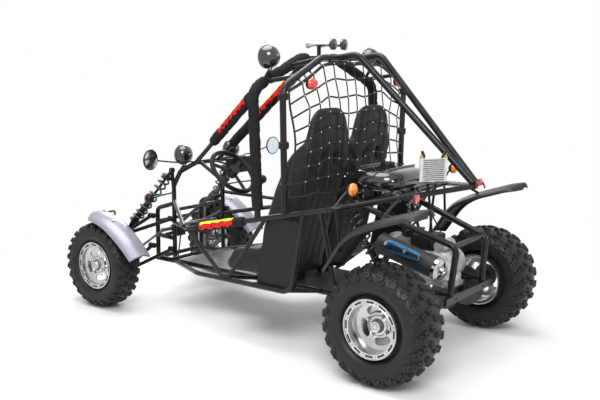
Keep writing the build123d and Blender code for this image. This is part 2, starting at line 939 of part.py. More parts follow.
def steering_wheel(hub, joint):
    axis = (joint - hub).normalized()
    face = Plane(origin=hub, x_dir=(0, 1, 0), z_dir=axis)
    rim_circle = (steering_wheel_diameter - steering_rim_diameter) / 2
    rim_ring = face * Torus(rim_circle, steering_rim_diameter / 2)
    centre = face * Cylinder(steering_hub_diameter / 2, steering_hub_depth)
    spokes = []
    for index in range(spoke_count):
        angle = 2 * pi * index / spoke_count - pi / 2
        middle = Vector(cos(angle), sin(angle), 0) * rim_circle / 2
        spoke = Box(rim_circle, steering_spoke_width, steering_rim_diameter / 4)
        spokes += [face * Pos(middle.X, middle.Y, 0) * Rot(0, 0, degrees(angle)) * spoke]
    keep("steering_wheel", fused([rim_ring, centre] + spokes))


def steering_column(hub, joint):
    axis = (joint - hub).normalized()
    shaft_start = hub + axis * steering_hub_depth / 2
    shaft_end = joint - axis * joint_length / 2
    yoke = shaft_between(shaft_end, joint - axis * shaft_gap, joint_diameter)
    spider = Pos(*joint) * Sphere(spider_diameter / 2)
    keep("steering_shaft", fused([shaft_between(shaft_start, shaft_end, shaft_diameter), yoke, spider]))

    middle = hub + axis * column_start
    sleeve = shaft_between(middle, middle + axis * column_length, column_tube)
    holder = middle + axis * column_length / 2
    strut = tube([(pillar_foot_x, pillar_foot_y - column_tube, pillar_foot_z), holder], light_tube)
    bore = shaft_between(hub, joint, shaft_diameter + seat_clearance * 2)
    keep("steering_column", sleeve + strut - bore, ["nose_frame"])


def steering_rack(joint):
    foot = Vector(rack_x, rack_pinion_y, rack_z)
    axis = (foot - joint).normalized()
    start = joint + axis * joint_length / 2
    end = foot - axis * (rack_tube + shaft_end_gap)
    yoke = shaft_between(joint + axis * shaft_gap, start, joint_diameter)
    socket = Pos(*joint) * Sphere(spider_diameter / 2 + seat_clearance)
    keep("lower_shaft", fused([shaft_between(start, end, shaft_diameter), yoke]) - socket)
    housing = disc((rack_x, 0, rack_z), (0, 1, 0), rack_tube / 2, rack_housing_half * 2)
    pinion = shaft_between(foot, foot - axis * rack_tube, column_tube)
    bore = disc((rack_x, 0, rack_z), (0, 1, 0), rack_bar_diameter / 2 + seat_clearance, rack_bar_half * 2)
    keep("steering_rack", housing + pinion - bore, ["nose_frame"])
    bar = disc((rack_x, 0, rack_z), (0, 1, 0), rack_bar_diameter / 2, rack_bar_half * 2)
    rods = []
    for side in (-1, 1):
        start = (rack_x, side * rack_bar_half, rack_z)
        end = (tie_rod_end_x, side * kingpin_y, tie_rod_end_z)
        rods += [tube([start, end], tie_rod_diameter)]
        rods += [Pos(*start) * Sphere(tie_rod_ball / 2)]
        rods += [disc(end, (0, 0, 1), tie_rod_ball / 2, tie_rod_ball)]
    keep("tie_rods", fused([bar] + rods))


def dash():
    panel = block(dash_x, 0, dash_z, dash_thickness, dash_width, dash_height)
    hangers = [
        tube([(pillar_foot_x, y, pillar_foot_z), (dash_x, y, dash_z)], light_tube / 2)
        for y in (-dash_width / 4, dash_width / 4)
    ]
    gauge = disc((dash_x - dash_thickness, 0, dash_z + dash_height / 4), (1, 0, 0), gauge_radius, dash_thickness * 3)
    keep("dash", fused([panel, gauge] + hangers), ["nose_frame", "pillars", "steering_column"])


def steering():
    hub = Vector(wheel_hub_x, wheel_hub_y, wheel_hub_z)
    joint = Vector(joint_x, wheel_hub_y, joint_z)
    steering_wheel(hub, joint)
    steering_column(hub, joint)
    steering_rack(joint)
    dash()


def engine():
    case = block(engine_x, 0, engine_z, engine_length, engine_width, engine_height)
    feet = [
        block(x, 0, engine_z - engine_height / 2 - engine_foot / 2, engine_foot_length, engine_width, engine_foot)
        for x in (engine_bed_front_x, engine_bed_rear_x)
    ]
    keep("engine", fused([case] + feet), ["rear_cage"])


def muffler():
    start = Vector(muffler_front_x, muffler_y, muffler_front_z)
    end = Vector(muffler_rear_x, muffler_y, muffler_rear_z)
    can = tube([start, end], muffler_diameter)
    pipe = tube([start, (muffler_front_x, engine_width / 4, muffler_front_z - muffler_diameter / 2)], light_tube)
    keep("muffler", fused([can, pipe]), ["engine", "rear_cage", "rear_shocks", "side_rails"])


def fuel_tank():
    bottom = tank_z - tank_height / 2
    body = block(tank_x, 0, tank_z, tank_length, tank_width, tank_height)
    body = fillet(body.edges(), tank_height * tank_round_share)
    cap = disc((tank_x, 0, tank_z + tank_height / 2 + cap_height / 2), (0, 0, 1), cap_diameter / 2, cap_height)
    feet = []
    for x in (tank_x + tank_length / 3, tank_x - tank_length / 3):
        top = rail_place(x)[1] + light_tube / 2 + seat_clearance
        height = bottom - top + tank_foot_sink
        feet += [block(x, 0, top + height / 2, tank_foot_length, tank_width / 2, height)]
    keep("fuel_tank", fused([body, cap] + feet), ["side_rails"])


def oil_cooler():
    turn = degrees(atan2(rail_y - apex_y, rail_kink_x - apex_x))
    rail_z = rail_place(cooler_x)[1]
    core = Box(cooler_width, cooler_thickness, cooler_height)
    height = cooler_z - cooler_height / 2 - rail_z
    foot = Pos(0, 0, -cooler_height / 2 - height / 2) * Box(cooler_width / 2, cooler_foot_thickness, height)
    keep("oil_cooler", Pos(cooler_x, cooler_y, cooler_z) * Rot(0, 0, turn) * (core + foot), ["side_rails", "rear_stays"])


def lamps():
    bulbs = []
    for side in (-1, 1):
        bulbs += [disc((headlamp_x, side * headlamp_y, headlamp_z), (1, 0, 0), headlamp_radius, headlamp_depth)]
        bulbs += [tube([(headlamp_x, side * headlamp_y, headlamp_z), (nose_loop_x, side * nose_loop_y, nose_loop_z)],
                       stalk_diameter * 2)]
        bulbs += [disc((roof_lamp_x, side * roof_lamp_y, roof_lamp_z), (1, 0, 0), roof_lamp_radius, roof_lamp_depth)]
        bulbs += [tube([(roof_lamp_x, side * roof_lamp_y, roof_lamp_z),
                        (front_hoop_x, side * roof_lamp_y, front_slope(roof_lamp_y))], stalk_diameter * 2)]
    keep("lamps", fused(bulbs), ["nose_frame", "front_hoop", "roof_links"])


def signals():
    pieces = []
    for side in (-1, 1):
        for x, y, z, foot in (
            (front_signal_x, front_signal_y, front_signal_z, (post_rear_x, post_rear_y, post_rear_top_z - tight_bend)),
            (rear_signal_x, rear_signal_y, rear_signal_z, (rail_kink_x, rail_y, rail_kink_z)),
        ):
            pieces += [disc((x, side * y, z), (1, 0, 0), signal_radius, signal_depth)]
            pieces += [tube([(x, side * y, z), (foot[0], side * foot[1], foot[2])], stalk_diameter)]
    keep("turn_signals", fused(pieces), ["side_rails", "rear_fenders", "nose_frame", "lower_frame"])


def tail_lamps():
    pieces = []
    for side in (-1, 1):
        pieces += [disc((tail_lamp_x, side * tail_lamp_y, tail_lamp_z), (1, 0, 0), signal_radius, signal_depth)]
        pieces += [tube([(tail_lamp_x, side * tail_lamp_y, tail_lamp_z),
                         (rear_hoop_x, side * tail_lamp_y, tail_lamp_z + signal_radius * 2)], stalk_diameter)]
        pieces += [block(reflector_x, side * reflector_y, reflector_z, reflector_depth, reflector_width,
                         reflector_height)]
        pieces += [tube([(reflector_x, side * reflector_y, reflector_z),
                         (reflector_x, side * rear_fender_inner_y, rear_fender_height(reflector_x))],
                        stalk_diameter)]
    keep("tail_lamps", fused(pieces), ["rear_hoop", "side_rails", "rear_fenders", "net"])


def mirrors():
    pieces = []
    for side in (-1, 1):
        pieces += [disc((mirror_x, side * mirror_y, mirror_z), (1, 0, 0), mirror_radius, mirror_depth)]
        pieces += [tube([(mirror_x, side * mirror_y, mirror_z), (pillar_foot_x, side * pillar_foot_y, pillar_foot_z)],
                        stalk_diameter)]
    keep("mirrors", fused(pieces), ["nose_frame", "pillars", "lamps"])


def horns():
    pieces = []
    for side in (-1, 1):
        pieces += [disc((horn_x, side * horn_y, horn_z), (1, 0, 0), horn_radius, horn_depth)]
        cone = Solid.make_cone(horn_radius / 4, horn_radius * 3 / 4, horn_length,
                               Plane(origin=(horn_x, side * horn_y, horn_z), z_dir=(1, 0, 0)))
        pieces += [cone]
    bar = tube([(front_hoop_x, 0, front_hoop_top_z), (front_hoop_x, 0, horn_z)], light_tube)
    cross = tube([(front_hoop_x, -horn_y, horn_z), (front_hoop_x, horn_y, horn_z)], light_tube / 2)
    keep("horns", fused(pieces + [bar, cross]), ["front_hoop", "pillars"])


def net():
    outline = Polyline(
        (rear_hoop_y - net_gap, net_foot_z),
        (rear_hoop_y - net_gap, rear_hoop_shoulder_z - net_gap),
        (rear_hoop_top_y, rear_hoop_top_z - net_gap * 2),
        (-rear_hoop_top_y, rear_hoop_top_z - net_gap * 2),
        (-rear_hoop_y + net_gap, rear_hoop_shoulder_z - net_gap),
        (-rear_hoop_y + net_gap, net_foot_z),
        close=True,
    )
    sheet = Plane(origin=(rear_hoop_x - main_tube / 2 - net_thickness, 0, 0), x_dir=(0, 1, 0), z_dir=(1, 0, 0)) * make_face(outline)
    keep("net", extrude(sheet, amount=net_thickness / 2, both=True), ["rear_hoop", "side_rails"])


lower_frame()
side_rails()
nose_frame()
front_hoop()
rear_hoop()
roof_links()
rear_stays()
pillars()
rear_cage()
swing_arm()
arms("upper_arms", upper_arm_z, kingpin_top_z, -1)
arms("lower_arms", lower_arm_z, kingpin_bottom_z, 1)
front_shocks()
rear_shocks()
seats()
floor_pan()
side_panels()
pedals()
wheels()
rear_axle()
knuckles()
front_fenders()
rear_fenders()
steering()
engine()
muffler()
fuel_tank()
oil_cooler()
lamps()
signals()
net()
tail_lamps()
mirrors()
horns()
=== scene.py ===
import json
from math import radians

import bmesh
import bpy
import numpy as np
from mathutils import Matrix


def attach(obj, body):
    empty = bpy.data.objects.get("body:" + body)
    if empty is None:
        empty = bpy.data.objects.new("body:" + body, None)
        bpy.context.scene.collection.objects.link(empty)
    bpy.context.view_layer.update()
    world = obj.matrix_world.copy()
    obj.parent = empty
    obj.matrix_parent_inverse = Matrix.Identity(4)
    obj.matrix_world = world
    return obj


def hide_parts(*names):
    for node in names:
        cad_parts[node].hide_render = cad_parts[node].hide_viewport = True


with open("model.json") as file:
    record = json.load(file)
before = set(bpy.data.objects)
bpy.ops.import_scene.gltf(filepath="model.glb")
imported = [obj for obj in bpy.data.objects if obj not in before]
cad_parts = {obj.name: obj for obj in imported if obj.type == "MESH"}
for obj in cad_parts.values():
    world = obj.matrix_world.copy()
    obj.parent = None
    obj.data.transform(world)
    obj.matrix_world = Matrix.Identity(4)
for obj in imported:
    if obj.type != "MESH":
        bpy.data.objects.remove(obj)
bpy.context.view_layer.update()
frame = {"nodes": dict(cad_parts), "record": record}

nodes = frame["nodes"]

# Places and sizes repeated from the frame's own design, in metres

front_axle = (0.99188, 0.2525)
rear_axle = (-0.96512, 0.2795)
front_tyre_y = 0.515
rear_tyre_y = 0.548
rim_bead = 0.139
full_turn = 2 * np.pi


# Surfaces: arrays of points made into vertices and four-sided faces

def grid(points, wrap_rows=False, wrap_columns=False):
    """A grid of points, rows by columns, as vertices and the quads between neighbours."""
    rows, columns = points.shape[:2]
    index = np.arange(rows * columns).reshape(rows, columns)
    if wrap_rows:
        index = np.vstack([index, index[:1]])
    if wrap_columns:
        index = np.hstack([index, index[:, :1]])
    quads = np.stack([index[:-1, :-1], index[1:, :-1], index[1:, 1:], index[:-1, 1:]], axis=-1)
    return points.reshape(-1, 3), quads.reshape(-1, 4)


def joined(surfaces):
    """Several surfaces as one list of vertices and faces."""
    starts = np.cumsum([0] + [len(vertices) for vertices, _ in surfaces[:-1]])
    vertices = np.concatenate([surface[0] for surface in surfaces])
    faces = np.concatenate([surface[1] + start for surface, start in zip(surfaces, starts)])
    return vertices, faces


def unit(vectors):
    """Vectors at length one."""
    vectors = np.asarray(vectors, float)
    return vectors / np.linalg.norm(vectors, axis=-1, keepdims=True)


def axes_along(direction, upright=(0, 0, 1)):
    """Three unit rows: across, over and along a direction."""
    along = unit(direction)
    if abs(along @ unit(upright)) > 0.99:
        upright = (1, 0, 0)
    across = unit(np.cross(upright, along))
    return np.array([across, np.cross(along, across), along])


def ring_section(radius, sides=16):
    """Points round a circle in a section's own (across, over) plane."""
    angle = np.arange(sides) * full_turn / sides
    return np.stack([np.cos(angle), np.sin(angle)], axis=1) * radius


def swept(path, section, closed=False, sizes=None, reference=None):
    """A section carried along a path; sizes scale it station by station, and its ends are closed."""
    path = np.asarray(path, float)
    if closed:
        tangent = unit(np.roll(path, -1, axis=0) - np.roll(path, 1, axis=0))
    else:
        tangent = unit(np.gradient(path, axis=0))
    if reference is None:
        reference = np.eye(3)[np.argmin(np.abs(tangent).max(axis=0))]
    across = unit(np.cross(reference, tangent))
    over = np.cross(tangent, across)
    scale = np.ones(len(path)) if sizes is None else np.asarray(sizes, float)
    section = section[None] * scale[:, None, None]
    rings = path[:, None] + across[:, None] * section[..., :1] + over[:, None] * section[..., 1:]
    if not closed:
        rings = np.concatenate([np.repeat(path[:1, None], rings.shape[1], axis=1), rings,
                                np.repeat(path[-1:, None], rings.shape[1], axis=1)])
    return grid(rings, wrap_rows=closed, wrap_columns=True)


def bent(points, radius, steps=8):
    """Straight runs between points, with their corners rounded to one radius."""
    points = np.asarray(points, float)
    path = [points[:1]]
    share = np.linspace(0, 1, steps)[:, None]
    for before, corner, after in zip(points, points[1:], points[2:]):
        back, on = unit(before - corner), unit(after - corner)
        half = np.arccos(np.clip(back @ on, -1, 1)) / 2
        centre = corner + unit(back + on) * radius / np.sin(half)
        start = corner + back * radius / np.tan(half) - centre
        end = corner + on * radius / np.tan(half) - centre
        sweep = np.pi - 2 * half
        path += [centre + (np.sin((1 - share) * sweep) * start + np.sin(share * sweep) * end) / np.sin(sweep)]
    return np.concatenate(path + [points[-1:]])


def even(path, spacing):
    """A path with its points at an even spacing."""
    run = np.concatenate([[0], np.cumsum(np.linalg.norm(np.diff(path, axis=0), axis=1))])
    stations = np.linspace(0, run[-1], max(2, int(round(run[-1] / spacing)) + 1))
    return np.stack([np.interp(stations, run, path[:, axis]) for axis in range(path.shape[1])], axis=1)


def curved(points, steps=10):
    """A smooth line through given points: each run is a cubic whose slopes follow its neighbours."""
    points = np.asarray(points, float)
    ends = np.concatenate([[2 * points[0] - points[1]], points, [2 * points[-1] - points[-2]]])
    share = np.linspace(0, 1, steps, endpoint=False)[:, None]
    runs = []
    for a, b, c, d in zip(ends, ends[1:], ends[2:], ends[3:]):
        runs += [0.5 * (2 * b + (c - a) * share + (2 * a - 5 * b + 4 * c - d) * share ** 2
                        + (3 * b - a - 3 * c + d) * share ** 3)]
    return np.concatenate(runs + [points[-1:]])


def rod(start, end, radius, sides=20):
    """A straight round bar."""
    return swept(np.array([start, end], float), ring_section(radius, sides))


def lathe(profile, centre, axis=(0, 1, 0), sides=72, closed=False):
    """A profile of (along, radius) points turned about an axis."""
    profile = np.asarray(profile, float)
    across, over, along = axes_along(axis)
    angle = np.arange(sides) * full_turn / sides
    round_it = np.cos(angle)[:, None] * across + np.sin(angle)[:, None] * over
    points = np.asarray(centre) + profile[:, :1, None] * along + profile[:, 1:, None] * round_it[None]
    return grid(points, wrap_rows=closed, wrap_columns=True)


def levels(outline, steps, centre, axes):
    """A convex outline stacked in levels of (height, scale), closed at its middle at both ends."""
    outline = np.asarray(outline, float)
    rows = [(steps[0][0], 0.0)] + list(steps) + [(steps[-1][0], 0.0)]
    flat = np.array([np.column_stack([outline * scale, np.full(len(outline), height)])
                     for height, scale in rows])
    points = np.asarray(centre) + flat @ np.asarray(axes)
    return grid(points, wrap_columns=True)


def rounded_box(centre, size, axes=np.eye(3), corner=0.2, edge=0.1):
    """A box with round upright corners and chamfered ends; corner and edge are shares of its least side."""
    least = min(size)
    radius = corner * min(size[0], size[1])
    angle = np.linspace(0, full_turn, 24, endpoint=False) + full_turn / 48
    core = np.array([size[0] / 2 - radius, size[1] / 2 - radius])
    direction = np.stack([np.cos(angle), np.sin(angle)], axis=1)
    outline = np.sign(direction) * core + direction * radius
    bevel = edge * least
    inset = 1 - 2 * bevel / max(size[0], size[1])
    half = size[2] / 2
    steps = [(-half, inset), (-half + bevel, 1), (half - bevel, 1), (half, inset)]
    return levels(outline, steps, centre, axes)


def instances(vertices, faces, places, turns, scales):
    """One small surface repeated: each copy has a place, three axes as rows and three scales."""
    copies = places[:, None] + (vertices[None] * scales[:, None]) @ turns
    offsets = np.arange(len(places))[:, None, None] * len(vertices)
    return copies.reshape(-1, 3), (faces[None] + offsets).reshape(-1, 4)


# Pieces: a surface made into an object that rides on a body

def piece(name, surfaces, finish, body="chassis", replaces=(), sharp=38, merge=2e-5):
    """An object from surfaces, its doubles merged, its faces outwards and its edges sharp past an angle."""
    vertices, faces = joined(surfaces)
    mesh = bpy.data.meshes.new(name)
    mesh.from_pydata(vertices.tolist(), [], faces.tolist())
    shape = bmesh.new()
    shape.from_mesh(mesh)
    bmesh.ops.remove_doubles(shape, verts=shape.verts, dist=merge)
    bmesh.ops.recalc_face_normals(shape, faces=shape.faces)
    shape.to_mesh(mesh)
    shape.free()
    mesh.shade_smooth()
    mesh.set_sharp_from_angle(angle=radians(sharp))
    mesh.materials.append(finish)
    result = bpy.data.objects.new(name, mesh)
    bpy.context.scene.collection.objects.link(result)
    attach(result, body)
    if replaces:
        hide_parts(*replaces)
    return result


# Shader maths: expressions on sockets

class Value:
    """A socket that takes part in sums, products and comparisons."""

    def __init__(self, finish, socket):
        self.finish = finish
        self.socket = socket

    def maths(self, operation, *others):
        inputs = [other.socket if isinstance(other, Value) else other for other in others]
        first = self.socket
        return self.finish.node("ShaderNodeMath", {"operation": operation}, dict(enumerate([first] + inputs)))

    def flipped(self, operation, other):
        return self.finish.node("ShaderNodeMath", {"operation": operation}, {0: other, 1: self.socket})

    def __add__(self, other):
        return self.maths("ADD", other)

    def __radd__(self, other):
        return self.maths("ADD", other)

    def __sub__(self, other):
        return self.maths("SUBTRACT", other)

    def __rsub__(self, other):
        return self.flipped("SUBTRACT", other)

    def __mul__(self, other):
        return self.maths("MULTIPLY", other)

    def __gt__(self, other):
        return self.maths("GREATER_THAN", other)

    def __lt__(self, other):
        return self.maths("LESS_THAN", other)

    def __mod__(self, other):
        return self.maths("FLOORED_MODULO", other)

    def __abs__(self):
        return self.maths("ABSOLUTE")


class Finish:
    """A material whose look is worked out from places on the object, in metres."""

    def __init__(self, name):
        self.material = bpy.data.materials.new(name)
        self.material.use_nodes = True
        self.tree = self.material.node_tree
        self.shader = self.tree.nodes["Principled BSDF"]
        self.place = self.tree.nodes.new("ShaderNodeTexCoord").outputs["Object"]

    def node(self, kind, settings=None, inputs=None, output=0):
        made = self.tree.nodes.new(kind)
        for name, value in (settings or {}).items():
            setattr(made, name, value)
        for name, value in (inputs or {}).items():
            if isinstance(value, Value):
                value = value.socket
            if isinstance(value, bpy.types.NodeSocket):
                self.tree.links.new(value, made.inputs[name])
            else:
                made.inputs[name].default_value = value
        return Value(self, made.outputs[output])

    def axis(self, name, source=None):
        """One coordinate of a place, as a number."""
        where = self.place if source is None else source
        return self.node("ShaderNodeSeparateXYZ", {}, {0: where}, "XYZ".index(name))

    def noise(self, scale, detail=3.0, source=None, rough=0.5):
        where = self.place if source is None else source
        return self.node("ShaderNodeTexNoise", {}, {"Vector": where, "Scale": scale, "Detail": detail,
                                                    "Roughness": rough}, "Fac")

    def cells(self, scale, feature="F1", output="Distance", source=None):
        where = self.place if source is None else source
        return self.node("ShaderNodeTexVoronoi", {"feature": feature}, {"Vector": where, "Scale": scale},
                         output)

    def stretched(self, scale):
        """Places scaled by three factors."""
        return self.node("ShaderNodeVectorMath", {"operation": "MULTIPLY"}, {0: self.place, 1: scale})

    def between(self, value, low, high):
        """A number mapped to the range 0 to 1 with soft ends."""
        return self.node("ShaderNodeMapRange", {"interpolation_type": "SMOOTHSTEP"},
                         {"Value": value, "From Min": low, "From Max": high})

    def mixed(self, share, first, second):
        """A colour between two colours."""
        made = self.tree.nodes.new("ShaderNodeMix")
        made.data_type = "RGBA"
        for socket, value in ((made.inputs[0], share), (made.inputs[6], first), (made.inputs[7], second)):
            if isinstance(value, Value):
                self.tree.links.new(value.socket, socket)
            elif isinstance(value, (int, float)):
                socket.default_value = value
            else:
                socket.default_value = (*value, 1) if len(value) == 3 else value
        return Value(self, made.outputs[2])

    def bump(self, height, distance=0.001, strength=1.0, normal=None):
        inputs = {"Height": height, "Distance": distance, "Strength": strength}
        if normal is not None:
            inputs["Normal"] = normal
        return self.node("ShaderNodeBump", {}, inputs)

    def set(self, **sockets):
        for name, value in sockets.items():
            socket = self.shader.inputs[name.replace("_", " ").title().replace("Ior", "IOR")]
            if isinstance(value, Value):
                self.tree.links.new(value.socket, socket)
            elif isinstance(value, tuple) and len(value) == 3:
                socket.default_value = (*value, 1)
            else:
                socket.default_value = value
        return self.material


# Finishes of this buggy, each with the grain, wear and colour change of the real surface; the mirror and
# signal glint finishes carry painted light

def black_powder_coat():
    """Black gloss coat on tubes: faint orange peel, dust in patches, warm scuffs."""
    finish = Finish("black_powder_coat")
    peel = finish.noise(420, 2)
    dust = finish.between(finish.noise(9, 5), 0.45, 0.75)
    scuff = finish.between(finish.noise(38, 6, rough=0.7), 0.6, 0.72)
    colour = finish.mixed(dust, (0.008, 0.008, 0.009), (0.018, 0.018, 0.018))
    colour = finish.mixed(scuff * 0.5, colour, (0.035, 0.03, 0.026))
    return finish.set(base_color=colour, roughness=0.24 + dust * 0.1 + scuff * 0.12,
                      normal=finish.bump(peel, 0.0003, 0.25), specular_ior_level=0.3)


def satin_black_steel():
    """Satin black steel with bare metal showing through in worn patches."""
    finish = Finish("satin_black_steel")
    grain = finish.noise(260, 3)
    worn = finish.between(finish.noise(30, 6, rough=0.65), 0.58, 0.74)
    colour = finish.mixed(worn * 0.6, (0.009, 0.009, 0.010), (0.045, 0.042, 0.038))
    return finish.set(base_color=colour, roughness=0.38 + worn * 0.15,
                      normal=finish.bump(grain, 0.0004, 0.35), specular_ior_level=0.3)


def tyre_rubber():
    """Rubber with a fine grain and a little dust; the mould lines round the axle are in the tyre's shape."""
    finish = Finish("tyre_rubber")
    grain = finish.noise(700, 3)
    dust = finish.between(finish.noise(24, 5, rough=0.6), 0.42, 0.78)
    colour = finish.mixed(dust, (0.008, 0.008, 0.009), (0.019, 0.0185, 0.018))
    return finish.set(base_color=colour, roughness=0.46 + dust * 0.16, normal=finish.bump(grain, 0.0004, 0.4),
                      specular_ior_level=0.35)


def polished_aluminium():
    """Turned and polished alloy: fine rings of machining and soft cloudy areas."""
    finish = Finish("polished_aluminium")
    cloud = finish.noise(16, 4)
    rings = finish.noise(1, 2, finish.stretched((60, 900, 60)))
    colour = finish.mixed(cloud, (0.40, 0.39, 0.385), (0.66, 0.655, 0.66))
    return finish.set(base_color=colour, metallic=1.0, roughness=0.16 + cloud * 0.14,
                      normal=finish.bump(rings, 0.0002, 0.12))


def seat_vinyl():
    """Black vinyl with a leather grain."""
    finish = Finish("seat_vinyl")
    grain = finish.cells(430, "DISTANCE_TO_EDGE")
    soft = finish.noise(14, 4)
    colour = finish.mixed(soft, (0.011, 0.011, 0.012), (0.021, 0.021, 0.022))
    return finish.set(base_color=colour, roughness=0.4 + soft * 0.12,
                      normal=finish.bump(finish.between(grain, 0.0, 0.12), 0.0005, 0.4),
                      specular_ior_level=0.3)


def webbing():
    """Flat woven black webbing."""
    finish = Finish("webbing")
    threads = finish.noise(1500, 2)
    return finish.set(base_color=(0.012, 0.012, 0.014), roughness=0.75,
                      normal=finish.bump(threads, 0.0006, 0.6))


def white_thread():
    """White stitching thread with a fine fuzz."""
    finish = Finish("white_thread")
    fuzz = finish.noise(1500, 2)
    return finish.set(base_color=finish.mixed(fuzz, (0.7, 0.7, 0.68), (0.85, 0.85, 0.83)), roughness=0.8)


def silver_paint():
    """Lavender-silver metallic paint: fine flakes under a clear coat."""
    finish = Finish("silver_paint")
    flakes = finish.cells(1400, "F1", "Color")
    cloud = finish.noise(7, 3)
    tone = finish.mixed(cloud, (0.25, 0.235, 0.32), (0.32, 0.30, 0.38))
    colour = finish.mixed(0.08, tone, flakes)
    return finish.set(base_color=colour, metallic=0.35, roughness=0.38, coat_weight=0.35, coat_roughness=0.15)


def green_black_plastic():
    """Dark plastic with a faint green grey, softly moulded."""
    finish = Finish("green_black_plastic")
    grain = finish.noise(520, 3)
    cloud = finish.noise(5, 4)
    colour = finish.mixed(cloud, (0.012, 0.013, 0.014), (0.024, 0.026, 0.026))
    return finish.set(base_color=colour, roughness=0.36 + cloud * 0.12,
                      normal=finish.bump(grain, 0.0004, 0.25), specular_ior_level=0.35)


def black_plastic():
    """Black moulded plastic with a fine grain."""
    finish = Finish("black_plastic")
    grain = finish.noise(600, 3)
    cloud = finish.noise(20, 4)
    colour = finish.mixed(cloud, (0.007, 0.007, 0.008), (0.013, 0.013, 0.014))
    return finish.set(base_color=colour, roughness=0.36 + cloud * 0.15,
                      normal=finish.bump(grain, 0.0003, 0.25), specular_ior_level=0.25)


def tank_gloss():
    """Gloss black enamel under a clear coat."""
    finish = Finish("tank_gloss")
    cloud = finish.noise(12, 5)
    colour = finish.mixed(cloud, (0.006, 0.006, 0.007), (0.012, 0.012, 0.013))
    return finish.set(base_color=colour, roughness=0.06 + cloud * 0.08, coat_weight=1.0, coat_roughness=0.04)


def cast_aluminium():
    """Sand-cast alloy, dull and pitted, darker where oil has settled."""
    finish = Finish("cast_aluminium")
    pits = finish.noise(320, 4)
    oil = finish.between(finish.noise(17, 6), 0.5, 0.72)
    colour = finish.mixed(oil, (0.60, 0.60, 0.60), (0.28, 0.275, 0.265))
    return finish.set(base_color=colour, metallic=0.75, roughness=0.42 + oil * 0.2,
                      normal=finish.bump(pits, 0.0008, 0.5))


def heat_black():
    """Matt black heat paint with a fine sandy grain."""
    finish = Finish("heat_black")
    grain = finish.noise(480, 4)
    cloud = finish.noise(11, 4)
    colour = finish.mixed(cloud, (0.012, 0.012, 0.014), (0.026, 0.025, 0.028))
    return finish.set(base_color=colour, roughness=0.48 + cloud * 0.1,
                      normal=finish.bump(grain, 0.0003, 0.35))


def steel_grey():
    """Dark steel with brushed light and dark areas."""
    finish = Finish("steel_grey")
    brushed = finish.noise(90, 5)
    colour = finish.mixed(brushed, (0.07, 0.07, 0.072), (0.17, 0.165, 0.16))
    return finish.set(base_color=colour, metallic=0.9, roughness=0.38 + brushed * 0.15)


def spring_black():
    """Black enamel on spring wire."""
    finish = Finish("spring_black")
    grain = finish.noise(180, 4)
    return finish.set(base_color=finish.mixed(grain, (0.008, 0.008, 0.009), (0.02, 0.02, 0.021)),
                      roughness=0.25, coat_weight=0.4)


def floor_plate():
    """Dull grey plate with scratches and shoe marks."""
    finish = Finish("floor_plate")
    marks = finish.between(finish.noise(24, 6, rough=0.65), 0.45, 0.7)
    colour = finish.mixed(marks, (0.09, 0.088, 0.088), (0.24, 0.235, 0.235))
    return finish.set(base_color=colour, metallic=0.4, roughness=0.42 + marks * 0.2)


def cooler_metal():
    """Pale bare alloy of fins and end tanks."""
    finish = Finish("cooler_metal")
    cloud = finish.noise(60, 4)
    return finish.set(base_color=finish.mixed(cloud, (0.62, 0.63, 0.64), (0.8, 0.81, 0.82)), metallic=0.8,
                      roughness=0.36 + cloud * 0.12)


def lens(name, dark, light):
    """Coloured plastic over a bright reflector: facets that catch the light one by one."""
    finish = Finish(name)
    facets = finish.cells(130, "F1", "Color")
    level = finish.axis("X", facets)
    colour = finish.mixed(level, dark, light)
    return finish.set(base_color=colour, roughness=0.1, coat_weight=1.0, coat_roughness=0.03,
                      normal=finish.bump(finish.cells(130), 0.004, 0.5))


def mirror_glass():
    """Clear silvered glass with a trace of haze."""
    finish = Finish("mirror_glass")
    haze = finish.noise(30, 3)
    return finish.set(base_color=(0.82, 0.86, 0.88), metallic=1.0, roughness=0.02 + haze * 0.02)


def chromed_steel():
    """Bright plated steel with a light haze."""
    finish = Finish("chromed_steel")
    haze = finish.noise(40, 4)
    return finish.set(base_color=finish.mixed(haze, (0.42, 0.42, 0.43), (0.66, 0.66, 0.68)), metallic=1.0,
                      roughness=0.08 + haze * 0.12)


def yellow_brass():
    """Yellow brass of hose fittings."""
    finish = Finish("yellow_brass")
    haze = finish.noise(60, 4)
    return finish.set(base_color=finish.mixed(haze, (0.50, 0.32, 0.07), (0.72, 0.50, 0.16)), metallic=1.0,
                      roughness=0.22 + haze * 0.15)


def anodised_blue():
    """Deep blue anodised alloy, brushed along its length."""
    finish = Finish("anodised_blue")
    brushed = finish.noise(1, 3, finish.stretched((25, 500, 500)))
    colour = finish.mixed(brushed, (0.012, 0.035, 0.085), (0.035, 0.10, 0.19))
    return finish.set(base_color=colour, metallic=0.85, roughness=0.2 + brushed * 0.12)


def glint():
    """A painted highlight: a bright yellow glint on an orange lens, glowing faintly though the signal is not
    lit.
    """
    finish = Finish("amber_glint")
    patch = finish.noise(200, 2)
    return finish.set(base_color=finish.mixed(patch, (0.9, 0.75, 0.1), (1.0, 0.9, 0.35)), roughness=0.2,
                      emission_color=(0.9, 0.75, 0.1), emission_strength=0.3)


def painted_sky_mirror():
    """Mirror glass with a painted reflection: a pale blue surround painted into its colour."""
    finish = Finish("painted_sky_mirror")
    haze = finish.noise(12, 2)
    # Painted reflection: the pale blue colour stands for a blue surround seen in the glass.
    return finish.set(base_color=finish.mixed(haze, (0.62, 0.72, 0.82), (0.72, 0.80, 0.88)), metallic=1.0,
                      roughness=0.04 + haze * 0.03)


